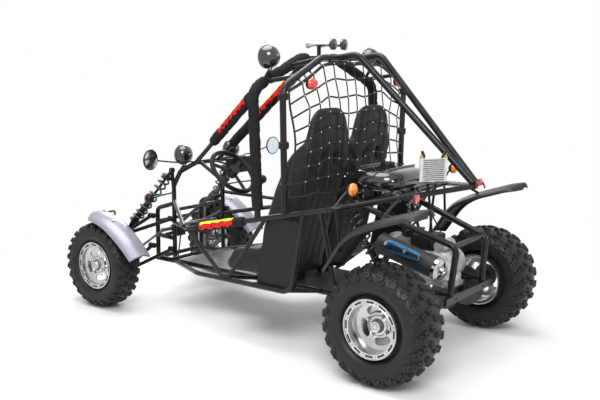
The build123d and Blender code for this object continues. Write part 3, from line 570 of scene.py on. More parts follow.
coat = black_powder_coat()
satin = satin_black_steel()
rubber = tyre_rubber()
alloy = polished_aluminium()
vinyl = seat_vinyl()
strap_cloth = webbing()
thread = white_thread()
silver = silver_paint()
fender_plastic = green_black_plastic()
plastic = black_plastic()
gloss = tank_gloss()
cast = cast_aluminium()
muffler_coat = heat_black()
steel = steel_grey()
spring = spring_black()
plate = floor_plate()
fins = cooler_metal()
orange = lens("orange_lens", (0.75, 0.1, 0.0), (1.0, 0.36, 0.02))
red = lens("red_lens", (0.5, 0.004, 0.006), (1.0, 0.06, 0.05))
glass = mirror_glass()
chrome = chromed_steel()
brass = yellow_brass()
blue_anodised = anodised_blue()
amber_glint = glint()
painted_sky_reflection = painted_sky_mirror()

finish_of_slot = {
    "black_paint": coat,
    "tyre_rubber": rubber,
    "polished_rim": alloy,
    "seat_cover": vinyl,
    "steel": steel,
    "spring_steel": spring,
    "silver_fender": silver,
    "black_fender": fender_plastic,
    "black_plastic": plastic,
    "floor_metal": plate,
    "engine_metal": cast,
    "muffler_black": muffler_coat,
    "tank_black": gloss,
    "cooler_metal": fins,
    "orange_lens": orange,
    "red_lens": red,
    "mirror_glass": glass,
    "net_webbing": strap_cloth,
}
for part in frame["record"]["subparts"]:
    shown = nodes[part["node"]]
    shown.data.materials.clear()
    shown.data.materials.append(finish_of_slot[part["material_slot"]])


# Tyres: a carcass section turned about the axle, and knobs set on its skin

lug_height = 0.012
section_reach = 146


def carcass_section(width, radius, count=121):
    """The tyre's outer skin from bead to bead: a squarish oval of (outwards, radius) points."""
    angle = np.linspace(-1, 1, count) * radians(section_reach)
    middle = (radius + rim_bead) / 2
    power = 2 / 2.7
    out = np.sign(np.sin(angle)) * np.abs(np.sin(angle)) ** power * width / 2
    up = middle + np.sign(np.cos(angle)) * np.abs(np.cos(angle)) ** power * (radius - rim_bead) / 2
    for line, depth in ((0.42, 0.0012), (0.72, 0.0014)):
        station = rim_bead + (radius - rim_bead) * line
        out = out + np.sign(out) * depth * np.exp(-((up - station) / 0.0012) ** 2)
    return np.stack([out, up], axis=1)


def knob():
    """One tread knob, one unit wide and high: a chamfered block with a dimple in its top."""
    corner = 0.3
    outline = np.array([(0.5, -corner), (0.5, corner), (corner, 0.5), (-corner, 0.5),
                        (-0.5, corner), (-0.5, -corner), (-corner, -0.5), (corner, -0.5)])
    rows = [(-0.4, 1.12), (0.8, 1.0), (1.0, 0.88), (1.0, 0.42), (0.72, 0.34), (0.72, 0.0)]
    flat = np.array([np.column_stack([outline * scale, np.full(8, height)]) for height, scale in rows])
    return grid(flat, wrap_columns=True)


def tyre(name, axle, y, width, radius, pitches, rows, body):
    """A whole tyre; rows are (place round the section in degrees, share of a pitch, length, width,
    height)."""
    skin = radius - lug_height
    section = carcass_section(width - 0.01, skin)
    centre = np.array([axle[0], y, axle[1]])
    bead_y = section[-1, 0]
    closing = np.array([(bead_y, rim_bead - 0.012), (-bead_y, rim_bead - 0.012)])
    body_surface = lathe(np.concatenate([section, closing]), centre, (0, 1, 0), 144, closed=True)
    lean = unit(np.gradient(section, axis=0))
    angles = np.linspace(-1, 1, len(section)) * section_reach
    places, turns, scales = [], [], []
    for half in (1, -1):
        for row_angle, shift, length, across, height in rows:
            out, up = (np.interp(half * row_angle, angles, section[:, axis]) for axis in (0, 1))
            slope = np.array([np.interp(half * row_angle, angles, lean[:, axis]) for axis in (0, 1)])
            slope = unit(slope)
            around = (np.arange(pitches) + shift + (0.5 if half < 0 else 0)) * full_turn / pitches
            radial = np.stack([np.cos(around), 0 * around, np.sin(around)], axis=1)
            sideways = np.tile([0.0, 1.0, 0.0], (pitches, 1))
            forward = np.cross(sideways, radial)
            tangent = sideways * slope[0] + radial * slope[1]
            normal = radial * slope[0] - sideways * slope[1]
            skew = radians(12) * half
            first = forward * np.cos(skew) + tangent * np.sin(skew)
            places += [centre + sideways * out + radial * up]
            turns += [np.stack([first, np.cross(normal, first), normal], axis=1)]
            scales += [np.tile([length, across, height], (pitches, 1))]
    vertices, faces = knob()
    lugs = instances(vertices, faces, np.concatenate(places), np.concatenate(turns), np.concatenate(scales))
    return piece(f"knobby_{name}", [body_surface, lugs], rubber, body, replaces=[name],
                 sharp=30)


rear_rows = [
    (6, 0.0, 0.030, 0.024, 0.0125),
    (30, 0.18, 0.030, 0.026, 0.0125),
    (47, 0.36, 0.029, 0.026, 0.0125),
    (59, 0.54, 0.028, 0.026, 0.0125),
    (71, 0.72, 0.025, 0.022, 0.006),
]
front_rows = [
    (8, 0.0, 0.026, 0.020, 0.0125),
    (34, 0.22, 0.026, 0.022, 0.0125),
    (52, 0.44, 0.026, 0.022, 0.0125),
    (66, 0.66, 0.024, 0.018, 0.006),
]
for side, hand in ((1, "left"), (-1, "right")):
    tyre(f"rear_tyre_{hand}", rear_axle, side * rear_tyre_y, 0.245, rear_axle[1], 23, rear_rows, "rear_axle")
    tyre(f"front_tyre_{hand}", front_axle, side * front_tyre_y, 0.178, front_axle[1], 25, front_rows,
         f"front_wheel_{hand}")


# Padded sleeves on the hoop, the pillars and the side rails

def soft_tube(path, radii):
    """Rings of given radii set square to a path; the first and last lie in their neighbours' planes."""
    tangent = unit(np.gradient(path[1:-1], axis=0))
    tangent = np.concatenate([tangent[:1], tangent, tangent[-1:]])
    across = unit(np.cross(tangent, [1.0, 0.2, 0.1]))
    over = np.cross(tangent, across)
    angle = np.arange(radii.shape[1]) * full_turn / radii.shape[1]
    ring = np.cos(angle)[None, :, None] * across[:, None] + np.sin(angle)[None, :, None] * over[:, None]
    return grid(path[:, None] + ring * radii[..., None], wrap_columns=True)


def sleeve_surface(points, radius, core, creases, seed, bend=0.0):
    """A full soft tube with slanting creases, drawn in to its core at both ends."""
    path = even(bent(points, bend) if len(points) > 2 else np.asarray(points, float), 0.005)
    run = np.linspace(0, 0.005 * len(path), len(path))[:, None]
    angle = np.arange(48)[None] * full_turn / 48
    chance = np.random.default_rng(seed)
    radii = radius * (1 + 0.02 * np.sin(run * 41 + 2 * np.sin(angle)) + 0.015 * np.sin(run * 97 + 3 * angle))
    for _ in range(creases):
        centre, width = chance.uniform(0.02, run[-1, 0] - 0.02), chance.uniform(0.003, 0.007)
        lean, phase = chance.uniform(0.01, 0.04), chance.uniform(0, full_turn)
        line = run - centre - lean * np.cos(angle - phase)
        reach = 0.5 + 0.5 * np.cos(angle - phase - 1.2)
        radii = radii - radius * chance.uniform(0.05, 0.13) * np.exp(-(line / width) ** 2) * reach
    ends = np.minimum(run, run[-1] - run)
    radii = core + (radii - core) * np.sqrt(1 - np.exp(-ends / 0.006))
    ring = np.full((1, radii.shape[1]), core * 0.9)
    return soft_tube(np.concatenate([path[:1], path, path[-1:]]), np.concatenate([ring, radii, ring]))


def sleeve_cloth(name, foot=None, top=None, span=(0, 0), upright=(0, 0, 1)):
    """Charcoal cloth; between two shares of a bar, a jagged yellow and red band on its outer side."""
    finish = Finish(name)
    weave = finish.noise(1300, 2)
    cloud = finish.noise(15, 5)
    colour = finish.mixed(cloud, (0.006, 0.006, 0.007), (0.014, 0.013, 0.016))
    if foot is not None:
        foot, top = np.asarray(foot, float), np.asarray(top, float)
        length = np.linalg.norm(top - foot)
        axis = (top - foot) / length
        over = unit(np.asarray(upright, float) - axis * (axis @ upright))
        offset = finish.node("ShaderNodeVectorMath", {"operation": "SUBTRACT"},
                             {0: finish.place, 1: tuple(foot)})
        along = finish.node("ShaderNodeVectorMath", {"operation": "DOT_PRODUCT"},
                            {0: offset, 1: tuple(axis)}, 1)
        height = finish.node("ShaderNodeVectorMath", {"operation": "DOT_PRODUCT"},
                             {0: offset, 1: tuple(over)}, 1)
        ragged = finish.noise(42, 4, offset, 0.7)
        teeth = abs((along * 17 + ragged) % 1.0 - 0.5) * 0.022 + ragged * 0.012
        inside = (along > length * span[0]) * (along < length * span[1])
        yellow = (height > 0.009 + teeth * 0.45) * inside
        band = (height > teeth - 0.024) * (height < 0.006 + teeth * 0.4) * inside
        gaps = finish.between(finish.noise(75, 3, offset), 0.56, 0.6)
        colour = finish.mixed(band * (1 - gaps), colour, (0.75, 0.012, 0.02))
        colour = finish.mixed(yellow, colour, (0.82, 0.72, 0.04))
    return finish.set(base_color=colour, roughness=0.82, normal=finish.bump(weave, 0.0005, 0.5),
                      specular_ior_level=0.25)


pillar_foot, pillar_top = np.array([0.515, 0.205, 0.868]), np.array([-0.206, 0.545, 1.290])
middle_foot, middle_top = np.array([0.515, 0.020, 0.868]), np.array([-0.206, 0.075, 1.465])
rail_sleeve = (np.array([0.183, 0.550, 0.5787]), np.array([-0.153, 0.550, 0.6544]))
plain_cloth = sleeve_cloth("sleeve_cloth")


def along_bar(foot, top, share):
    """The point at a share of the way from a bar's foot to its top."""
    return foot + (top - foot) * share


def sleeves():
    """The hoop's sleeves run round its bends; pillar and rail sleeves carry a printed band."""
    surfaces = []
    for side in (1, -1):
        turn = np.array([1, side, 1])
        leg = [np.array(p) * turn for p in ((-0.2349, 0.55, 0.722), (-0.206, 0.55, 1.315),
                                            (-0.206, 0.452, 1.353))]
        surfaces += [sleeve_surface(leg, 0.0285, 0.0165, 46, 3 + side, 0.085)]
        slope = [np.array(p) * turn for p in ((-0.206, 0.430, 1.3618), (-0.206, 0.165, 1.465),
                                              (-0.206, 0.105, 1.465))]
        surfaces += [sleeve_surface(slope, 0.0285, 0.0165, 26, 9 + side, 0.08)]
    plain = piece("hoop_sleeves", surfaces, plain_cloth, sharp=60)
    prints = [
        ("pillar_sleeve", pillar_foot, pillar_top, (0.34, 0.985), (0.50, 0.93), 0.0285, 0.0130),
        ("middle_sleeve", middle_foot, middle_top, (0.17, 0.94), (0.45, 0.86), 0.0285, 0.0130),
        ("rail_sleeve_left", *rail_sleeve, (0.0, 1.0), (0.12, 0.80), 0.0255, 0.0140),
        ("rail_sleeve_right", *(bar * np.array([1, -1, 1]) for bar in rail_sleeve), (0.0, 1.0), (0.12, 0.80),
         0.0255, 0.0140),
    ]
    for seed, (name, foot, top, reach, span, radius, core) in enumerate(prints):
        cloth = sleeve_cloth(name + "_cloth", foot, top, span)
        ends = [along_bar(foot, top, share) for share in reach]
        creases = int(40 * np.linalg.norm(ends[1] - ends[0]))
        made = piece(name, [sleeve_surface(ends, radius, core, creases, 20 + seed)], cloth,
                     sharp=60)


# The net: straps between knots, hung from the rear hoop and lying back over the seats

net_half = 0.548
net_foot = 0.80
net_rows = 9
net_columns = 13


def hoop_underside(y):
    """Height of the net's upper edge below the rear hoop."""
    return np.interp(np.abs(y), [0.25, 0.57], [1.440, 1.302])


def net_knots():
    """Places of the knots: rows follow the hoop's slope at the top, columns draw together over the seats."""
    chance = np.random.default_rng(5)
    down, across = np.meshgrid(np.linspace(0, 1, net_rows), np.linspace(-1, 1, net_columns), indexing="ij")
    edge = net_half * (1 - 0.075 * np.sin(np.pi * np.clip(down, 0, 0.9)) ** 2 * np.abs(across) ** 3)
    y = across * edge * (1 - 0.13 * np.sin(np.pi * down) * (1 - np.abs(across)) ** 0.5)
    top = hoop_underside(across * net_half)
    z = top - down * (top - net_foot) - 0.012 * np.sin(np.pi * down) * np.cos(across * 5)
    inner = (np.abs(across) < 0.99) & (down > 0.01)
    y = y + chance.normal(0, 0.006, y.shape) * inner
    z = z + chance.normal(0, 0.006, z.shape) * inner
    side = np.clip((net_half - np.abs(y)) / (net_half - 0.43), 0, 1)
    low = np.clip((1.45 - z) / (1.45 - 1.235), 0, 1)
    x = -0.4260 - 0.0310 * side * low - 0.0015 * np.sin(y * 23) * low
    return np.stack([x, y, z], axis=-1)


def strap(points, width=0.0090, thickness=0.0018):
    """A thin flat strap on a smooth line through knots, its broad side to the rear."""
    half = np.array([[1, 1], [-1, 1], [-1, -1], [1, -1]]) * (width / 2, thickness / 2)
    return swept(curved(points, 6), half, reference=(1, 0, 0))


def bead(count=8):
    """A small unit ball of a few faces for stitches and rivets."""
    rise = np.linspace(-np.pi / 2, np.pi / 2, 5)
    around = np.arange(count) * full_turn / count
    points = np.stack([np.cos(rise)[:, None] * np.cos(around), np.cos(rise)[:, None] * np.sin(around),
                       np.sin(rise)[:, None] + 0 * around], axis=-1)
    return grid(points, wrap_columns=True)


def beads(places, sizes):
    """The same small ball at many places."""
    places = np.asarray(places, float)
    turns = np.tile(np.eye(3), (len(places), 1, 1))
    return instances(*bead(), places, turns, np.tile(sizes, (len(places), 1)))


def net():
    """Straps through the knots, hemmed edges, loops over the hoop, collars and white stitches."""
    knots = net_knots()
    surfaces = [strap(row) for row in knots[1:]] + [strap(column) for column in knots.transpose(1, 0, 2)]
    edge = curved(knots[0], 8)
    surfaces += [swept(edge, ring_section(0.0085, 12) * (1, 0.6))]
    for column in (0, -1):
        surfaces += [swept(curved(knots[:, column], 8), ring_section(0.0065, 10) * (1, 0.6))]
    surfaces += [swept(curved(knots[-1], 8), ring_section(0.0055, 10) * (1, 0.6))]
    for index in range(net_columns):
        start = knots[0, index]
        lift = np.array([0.019, 0.0, 0.020])
        surfaces += [swept(curved([start, start + lift * (1, 0, 0.4), start + lift], 6),
                           ring_section(1.0, 8) * (0.010, 0.0012), reference=(0, 0, 1))]
    piece("net_straps", surfaces, strap_cloth, replaces=["net"], sharp=50)
    collars, ties = [], []
    hoop_foot_y, hoop_foot_z, hoop_lean = 0.55, 0.775, 0.036
    for side in (1, -1):
        for z in (1.285, 1.054, 0.850):
            y = side * (hoop_foot_y + hoop_lean * (z - hoop_foot_z))
            ring = [(-0.017, 0.0162), (-0.017, 0.022), (-0.015, 0.024), (0.015, 0.024), (0.017, 0.022),
                    (0.017, 0.0162)]
            collars += [lathe(ring, (-0.406, y, z), (0, side * hoop_lean, 1), 36, closed=True)]
            ties += [strap([(-0.408, y - side * 0.020, z), (-0.418, y - side * 0.024, z),
                            (-0.427, y - side * 0.014, z)],
                           0.020, 0.002)]
    piece("net_collars", collars, plastic)
    piece("net_ties", ties, strap_cloth)
    marks = knots[1:, 1:-1].reshape(-1, 3)
    spots = np.concatenate([marks + (-0.0016, 0, 0), marks + (0.0016, 0, 0)])
    rim = knots[0, 1:-1] + (-0.0055, 0, 0)
    piece("net_stitches", [beads(spots, (0.0014, 0.0038, 0.0038)), beads(rim, (0.0014, 0.0036, 0.0036))],
          thread, sharp=80)


# Seats: lofted pads joined into one skin, filled out as padded vinyl, and sewn in channels

seat_middle = 0.205
seat_heights = [0.330, 0.60, 0.90, 1.00, 1.10, 1.17, 1.205, 1.225, 1.232]
seat_rear = [-0.262, -0.330, -0.422, -0.434, -0.440, -0.443, -0.440, -0.434, -0.424]
seat_half_widths = [0.195, 0.200, 0.198, 0.192, 0.172, 0.150, 0.122, 0.095, 0.050]
seat_thicknesses = [0.10, 0.085, 0.075, 0.066, 0.056, 0.052, 0.044, 0.028, 0.010]


def squircle(count=48, power=4.0):
    """A rounded square, one unit from its middle to each side."""
    angle = np.arange(count) * full_turn / count
    cosine, sine = np.cos(angle), np.sin(angle)
    return np.stack([np.sign(cosine) * np.abs(cosine) ** (2 / power),
                     np.sign(sine) * np.abs(sine) ** (2 / power)], 1)


def loft(centres, halves, axes):
    """Rounded squares of given half sizes, square to a third axis, closed at both ends."""
    ring = squircle()
    first, second = np.asarray(axes[0], float), np.asarray(axes[1], float)
    centres, halves = np.asarray(centres, float), np.asarray(halves, float)
    points = centres[:, None] + (ring[None, :, :1] * halves[:, None, :1]) * first \
        + (ring[None, :, 1:] * halves[:, None, 1:]) * second
    ends = [np.repeat(centres[index][None, None], len(ring), axis=1) for index in (0, -1)]
    return grid(np.concatenate([ends[0], points, ends[1]]), wrap_columns=True)


def seat_surfaces():
    """Back, two side bolsters, cushion with its two thigh rolls, and the feet."""
    x_axis, y_axis, z_axis = np.eye(3)
    z = np.array(seat_heights)
    rear, half = np.array(seat_rear), np.array(seat_half_widths)
    thick = np.array(seat_thicknesses)
    fine = np.concatenate([np.linspace(z[0], 1.17, 24), z[-3:]])
    rear, half, thick = (np.interp(fine, z, values) for values in (rear, half, thick))
    centres = np.stack([rear + thick / 2, 0 * fine + seat_middle, fine], axis=1)
    surfaces = [loft(centres, np.stack([thick / 2, half], axis=1), (x_axis, y_axis))]
    rise = np.array([0.40, 0.46, 0.60, 0.80, 0.93, 0.99, 1.03, 1.045])
    reach = np.array([0.10, 0.17, 0.185, 0.175, 0.150, 0.115, 0.075, 0.055])
    back = np.interp(rise, z, np.array(seat_rear)) + 0.006
    for side in (1, -1):
        middles = np.stack([back + reach / 2, 0 * rise + seat_middle + side * 0.164, rise], axis=1)
        surfaces += [loft(middles, np.stack([reach / 2, 0 * rise + 0.036], axis=1), (x_axis, y_axis))]
    run = np.array([-0.270, -0.20, -0.05, 0.08, 0.118, 0.132])
    top = np.array([0.062, 0.080, 0.098, 0.100, 0.078, 0.040])
    middles = np.stack([run, 0 * run + seat_middle, 0.333 + top / 2], axis=1)
    surfaces += [loft(middles, np.stack([0 * run + 0.185, top / 2], axis=1), (y_axis, z_axis))]
    roll = np.array([-0.235, -0.15, 0.0, 0.075, 0.105])
    height = np.array([0.150, 0.150, 0.135, 0.120, 0.060])
    for side in (1, -1):
        middles = np.stack([roll, 0 * roll + seat_middle + side * 0.165, 0.333 + height / 2], axis=1)
        surfaces += [loft(middles, np.stack([0 * roll + 0.034, height / 2], axis=1), (y_axis, z_axis))]
    for x in (0.06, -0.165):
        surfaces += [rounded_box((x, seat_middle - 0.075, 0.305), (0.06, 0.12, 0.071))]
    return surfaces


def plain_object(name, surfaces):
    """An object with no finish yet, its doubles merged and its faces outwards."""
    vertices, faces = joined(surfaces)
    mesh = bpy.data.meshes.new(name)
    mesh.from_pydata(vertices.tolist(), [], faces.tolist())
    shape = bmesh.new()
    shape.from_mesh(mesh)
    bmesh.ops.remove_doubles(shape, verts=shape.verts, dist=2e-5)
    bmesh.ops.dissolve_degenerate(shape, edges=shape.edges, dist=1e-6)
    bmesh.ops.recalc_face_normals(shape, faces=shape.faces)
    shape.to_mesh(mesh)
    shape.free()
    made = bpy.data.objects.new(name, mesh)
    bpy.context.scene.collection.objects.link(made)
    return made


def applied(made):
    """The object with its modifiers made real."""
    graph = bpy.context.evaluated_depsgraph_get()
    graph.update()
    real = bpy.data.meshes.new_from_object(made.evaluated_get(graph))
    made.modifiers.clear()
    made.data = real
    return made


def cut_away(made, cutters):
    """The object less a set of closed cutters."""
    tool = plain_object("cutter", cutters)
    cut = made.modifiers.new("openings", "BOOLEAN")
    cut.operation = "DIFFERENCE"
    cut.solver = "EXACT"
    cut.use_self = True
    cut.object = tool
    applied(made)
    bpy.data.objects.remove(tool)
    return made


def mesh_arrays(mesh):
    """A mesh's vertices and edges as arrays."""
    points = np.empty(len(mesh.vertices) * 3)
    mesh.vertices.foreach_get("co", points)
    edges = np.empty(len(mesh.edges) * 2, int)
    mesh.edges.foreach_get("vertices", edges)
    return points.reshape(-1, 3), edges.reshape(-1, 2)


def relaxed(points, edges, rounds):
    """Every point drawn towards the mean of its neighbours, several times over."""
    count = np.bincount(edges.ravel(), minlength=len(points))[:, None]
    for _ in range(rounds):
        total = np.stack([np.bincount(edges.ravel(), points[edges[:, ::-1].ravel(), axis], len(points))
                          for axis in range(3)], axis=1)
        points = points * 0.4 + 0.6 * total / count
    return points


def sewn(points):
    """Depth of the seat's sewn channels: lines down the back and cushion, and one along its edge."""
    across = points[:, 1] - seat_middle
    rise = points[:, 2]
    middle = np.clip((rise - 0.38) / 0.03, 0, 1) * np.clip((1.205 - rise) / 0.03, 0, 1)
    depth = np.zeros(len(points))
    for line in (-0.094, -0.032, 0.032, 0.094):
        depth += 0.006 * np.exp(-((across - line) / 0.0045) ** 2) * middle
    half = np.interp(rise, seat_heights, seat_half_widths)
    depth += 0.005 * np.exp(-((np.abs(across) - half + 0.030) / 0.0045) ** 2) * (rise > 0.45)
    return depth


def remeshed(made, size):
    """The object's solids joined into one even skin."""
    skin = made.modifiers.new("skin", "REMESH")
    skin.mode = "VOXEL"
    skin.voxel_size = size
    applied(made)


def padded_seats():
    """The left seat, and its mirror image on the right."""
    made = plain_object("padded_seat_left", seat_surfaces())
    skin_size = 0.009
    smoothing_rounds = 9
    slot_splay = radians(9)
    slots = []
    for side in (1, -1):
        cosine, sine = np.cos(slot_splay), side * np.sin(slot_splay)
        axes = np.array([[1, 0, 0], [0, cosine, sine], [0, -sine, cosine]])
        place = (-0.40, seat_middle + side * 0.066, 0.955)
        slots += [rounded_box(place, (0.30, 0.026, 0.085), axes, 0.5, 0.0)]
    remeshed(made, skin_size)
    cut_away(made, slots)
    remeshed(made, skin_size)
    points, edges = mesh_arrays(made.data)
    rest = relaxed(points, edges, smoothing_rounds)
    made.data.vertices.foreach_set("co", rest.ravel())
    made.data.update()
    rest = puffed(made, rest)
    normals = np.empty(len(rest) * 3)
    made.data.vertices.foreach_get("normal", normals)
    normals = normals.reshape(-1, 3)
    facing = np.clip(np.abs(normals[:, 0]) + 0.6 * np.abs(normals[:, 2]), 0, 1)
    rest = rest - normals * (sewn(rest) * facing)[:, None]
    made.data.vertices.foreach_set("co", rest.ravel())
    finer = made.modifiers.new("finer", "SUBSURF")
    finer.levels = finer.render_levels = 1
    applied(made)
    copy = made.data.copy()
    copy.transform(Matrix.Scale(-1, 4, (0, 1, 0)))
    copy.flip_normals()
    other = bpy.data.objects.new("padded_seat_right", copy)
    bpy.context.scene.collection.objects.link(other)
    for seat, node in ((made, "seat_left"), (other, "seat_right")):
        seat.data.shade_smooth()
        seat.data.materials.clear()
        seat.data.materials.append(vinyl)
        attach(seat, "chassis")
        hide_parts(node)


def puffed(made, rest):
    """Cloth under pressure for a few steps; no point moves further than a cap."""
    cloth = made.modifiers.new("padding", "CLOTH")
    cloth.settings.use_pressure = True
    cloth.settings.uniform_pressure_force = 4
    cloth.settings.effector_weights.gravity = 0
    cloth.settings.quality = 4
    scene = bpy.context.scene
    last_frame = 14
    for frame_number in range(1, last_frame + 1):
        scene.frame_set(frame_number)
    graph = bpy.context.evaluated_depsgraph_get()
    shaped = np.empty(len(rest) * 3)
    made.evaluated_get(graph).data.vertices.foreach_get("co", shaped)
    made.modifiers.clear()
    scene.frame_set(1)
    move = shaped.reshape(-1, 3) - rest
    reach = np.linalg.norm(move, axis=1, keepdims=True)
    cap = 0.006
    rest = rest + move * np.minimum(1, cap / np.maximum(reach, 1e-9))
    made.data.vertices.foreach_set("co", rest.ravel())
    made.data.update()
    return rest


sleeves()
net()
padded_seats()


# Rims: a turned barrel, a face plate with windows, a lip with slots, nuts and a hub cap

def carved(name, solids, cutters, finish, body, replaces=(), bevel=0.0012):
    """Closed surfaces less a set of cutters, with their new edges softly broken."""
    made = plain_object(name, solids)
    cut_away(made, cutters)
    if bevel:
        edge = made.modifiers.new("edges", "BEVEL")
        edge.width = bevel
        edge.segments = 2
        edge.limit_method = "ANGLE"
        edge.angle_limit = radians(40)
        applied(made)
    made.data.materials.clear()
    made.data.shade_smooth()
    made.data.set_sharp_from_angle(angle=radians(38))
    made.data.materials.append(finish)
    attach(made, body)
    if replaces:
        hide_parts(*replaces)
    return made


def kidney(radius, arc, width, count=14):
    """A band along an arc with round ends, symmetrical about the first axis."""
    half = radians(arc) / 2
    sweep = np.linspace(-half, half, count)
    cap = np.linspace(0, np.pi, 7)[1:-1]
    outer = np.stack([np.cos(sweep), np.sin(sweep)], 1) * (radius + width / 2)
    inner = np.stack([np.cos(sweep[::-1]), np.sin(sweep[::-1])], 1) * (radius - width / 2)
    ends = []
    for turn, start in ((half, 0.0), (-half, np.pi)):
        middle = np.array([np.cos(turn), np.sin(turn)]) * radius
        angle = turn + start + cap
        ends += [middle + np.stack([np.cos(angle), np.sin(angle)], 1) * width / 2]
    return np.concatenate([outer, ends[0], inner, ends[1]])


def cut_ring(centre, axes, count, outline, depth, phase=0.0):
    """Closed cutters set round an axis, each an outline with a depth either way."""
    cutters = []
    middle = outline.mean(axis=0)
    for index in range(count):
        angle = phase + index * full_turn / count
        turn = np.array([[np.cos(angle), np.sin(angle)], [-np.sin(angle), np.cos(angle)]])
        turned = (outline - middle) @ turn
        place = np.asarray(centre) + (middle @ turn) @ np.asarray(axes)[:2]
        cutters += [levels(turned, [(-depth, 1), (depth, 1)], place, axes)]
    return cutters


def around(centre, axes, radius, count, phase=0.0):
    """Places spaced evenly round an axis."""
    angle = phase + np.arange(count) * full_turn / count
    ring = np.stack([np.cos(angle), np.sin(angle)], axis=1) * radius
    return np.asarray(centre) + ring @ np.asarray(axes)[:2]


def hexagon(radius):
    """Six points round a circle."""
    angle = np.arange(6) * full_turn / 6
    return np.stack([np.cos(angle), np.sin(angle)], axis=1) * radius


def bolt(place, axis, radius=0.008, height=0.006):
    """A hexagon head on a thin washer."""
    axes = axes_along(axis)
    washer = lathe([(0, 0), (0, radius * 1.35), (0.0012, radius * 1.35), (0.0014, 0)], place, axis, 20)
    steps = [(0.001, 1), (height * 0.75, 1), (height, 0.86)]
    return [washer, levels(hexagon(radius), steps, place, axes)]


def rim(name, side, axle, y, width, inset, body):
    """Barrel with bead seats and drop centre, slotted lip, windowed plate set inwards, nuts and cap;
    black pieces of painted shade sit behind the lip's slots and in the cap's small holes.
    """
    centre = np.array([axle[0], y, axle[1]])
    axis = np.array([0.0, side, 0.0])
    axes = axes_along(axis)
    half = width / 2
    slot_circle, nut_circle, pit_circle = 0.1252, 0.052, 0.0125
    outside = [(-half, 0.139), (-half + 0.007, 0.139), (-half + 0.011, 0.128), (-half + 0.030, 0.127),
               (-half + 0.042, 0.118), (half - 0.042, 0.118), (half - 0.030, 0.127), (half - 0.011, 0.128),
               (half - 0.007, 0.139), (half - 0.001, 0.139), (half, 0.137)]
    inside = [(half, 0.1335), (half - 0.004, 0.1325), (half - 0.005, 0.117), (half - 0.0035, 0.1155),
              (half - 0.004, 0.1135), (half - 0.009, 0.1125), (-half + 0.042, 0.112), (-half + 0.030, 0.121),
              (-half + 0.008, 0.122), (-half, 0.134)]
    barrel = lathe(outside + inside, centre, axis, 96, closed=True)
    slots = cut_ring(centre + axis * (half - 0.004), axes, 12, kidney(slot_circle, 15, 0.0085), 0.0065)
    carved(f"{name}_barrel", [barrel], slots, alloy, body, (name,), 0)
    # Painted shade: a thin black ring behind the lip's slots, so that they show dark like the shade inside
    # them.
    dark = lathe([(half - 0.0100, 0.118), (half - 0.0100, 0.1305), (half - 0.0072, 0.1305),
                  (half - 0.0072, 0.118)],
                 centre, axis, 72, closed=True)
    piece(f"{name}_slot_painted_shade", [dark], plastic, body)
    disc = lathe([(inset - 0.004, 0), (inset - 0.004, 0.1125), (inset + 0.010, 0.1125),
                  (inset + 0.004, 0.104),
                  (inset + 0.003, 0.050), (inset + 0.009, 0.044), (inset + 0.009, 0)], centre, axis, 96)
    windows = cut_ring(centre + axis * inset, axes, 4, kidney(0.076, 40, 0.033), 0.03, radians(18))
    carved(f"{name}_plate", [disc], windows, alloy, body)
    nuts = []
    for place in around(centre + axis * (inset + 0.007), axes, nut_circle, 4, radians(63)):
        nuts += [levels(hexagon(0.0095), [(0, 1), (0.012, 1), (0.016, 0.7)], place, axes)]
    cap = [(inset + 0.006, 0), (inset + 0.006, 0.034), (inset + 0.012, 0.034), (inset + 0.026, 0.027),
           (inset + 0.032, 0.024), (inset + 0.034, 0.019), (inset + 0.034, 0)]
    nuts += [lathe(cap, centre, axis, 48)]
    spots = around(centre + axis * (half - 0.003), axes, slot_circle, 12, radians(15))
    nuts += [instances(*bead(), spots, np.tile(axes, (12, 1, 1)), np.tile((0.0036, 0.0036, 0.003), (12, 1)))]
    piece(f"{name}_nuts", nuts, alloy, body)
    # Painted shade: flat black spots on the hub cap stand for the shade inside its small holes; the valve
    # stem shares the black finish.
    shaded_hole_places = around(centre + axis * (inset + 0.0335), axes, pit_circle, 8)
    pits = instances(*bead(), shaded_hole_places, np.tile(axes, (8, 1, 1)), np.tile((0.0032, 0.0032, 0.001), (8, 1)))
    valve = rod(centre + axes[0] * 0.098 + axis * (inset + 0.006),
                centre + axes[0] * 0.099 + axis * (inset + 0.032), 0.0038, 12)
    piece(f"{name}_pits", [pits, valve], plastic, body)


for side, hand in ((1, "left"), (-1, "right")):
    rim(f"rear_rim_{hand}", side, rear_axle, side * rear_tyre_y, 0.222, 0.027, "rear_axle")
    rim(f"front_rim_{hand}", side, front_axle, side * front_tyre_y, 0.140, 0.036, f"front_wheel_{hand}")


# Shock absorbers: a coil spring between two seats, a damper body, a rod and eyes

def coil(foot, top, radius, wire, turns):
    """A helix whose pitch closes up at both ends."""
    foot, top = np.asarray(foot, float), np.asarray(top, float)
    axes = axes_along(top - foot)
    share = np.linspace(0, 1, int(turns * 28))
    rise = share - 0.045 * np.sin(share * full_turn)
    angle = share * turns * full_turn
    line = foot + (top - foot) * rise[:, None]
    path = line + radius * (np.cos(angle)[:, None] * axes[0] + np.sin(angle)[:, None] * axes[1])
    return swept(path, ring_section(wire, 12))


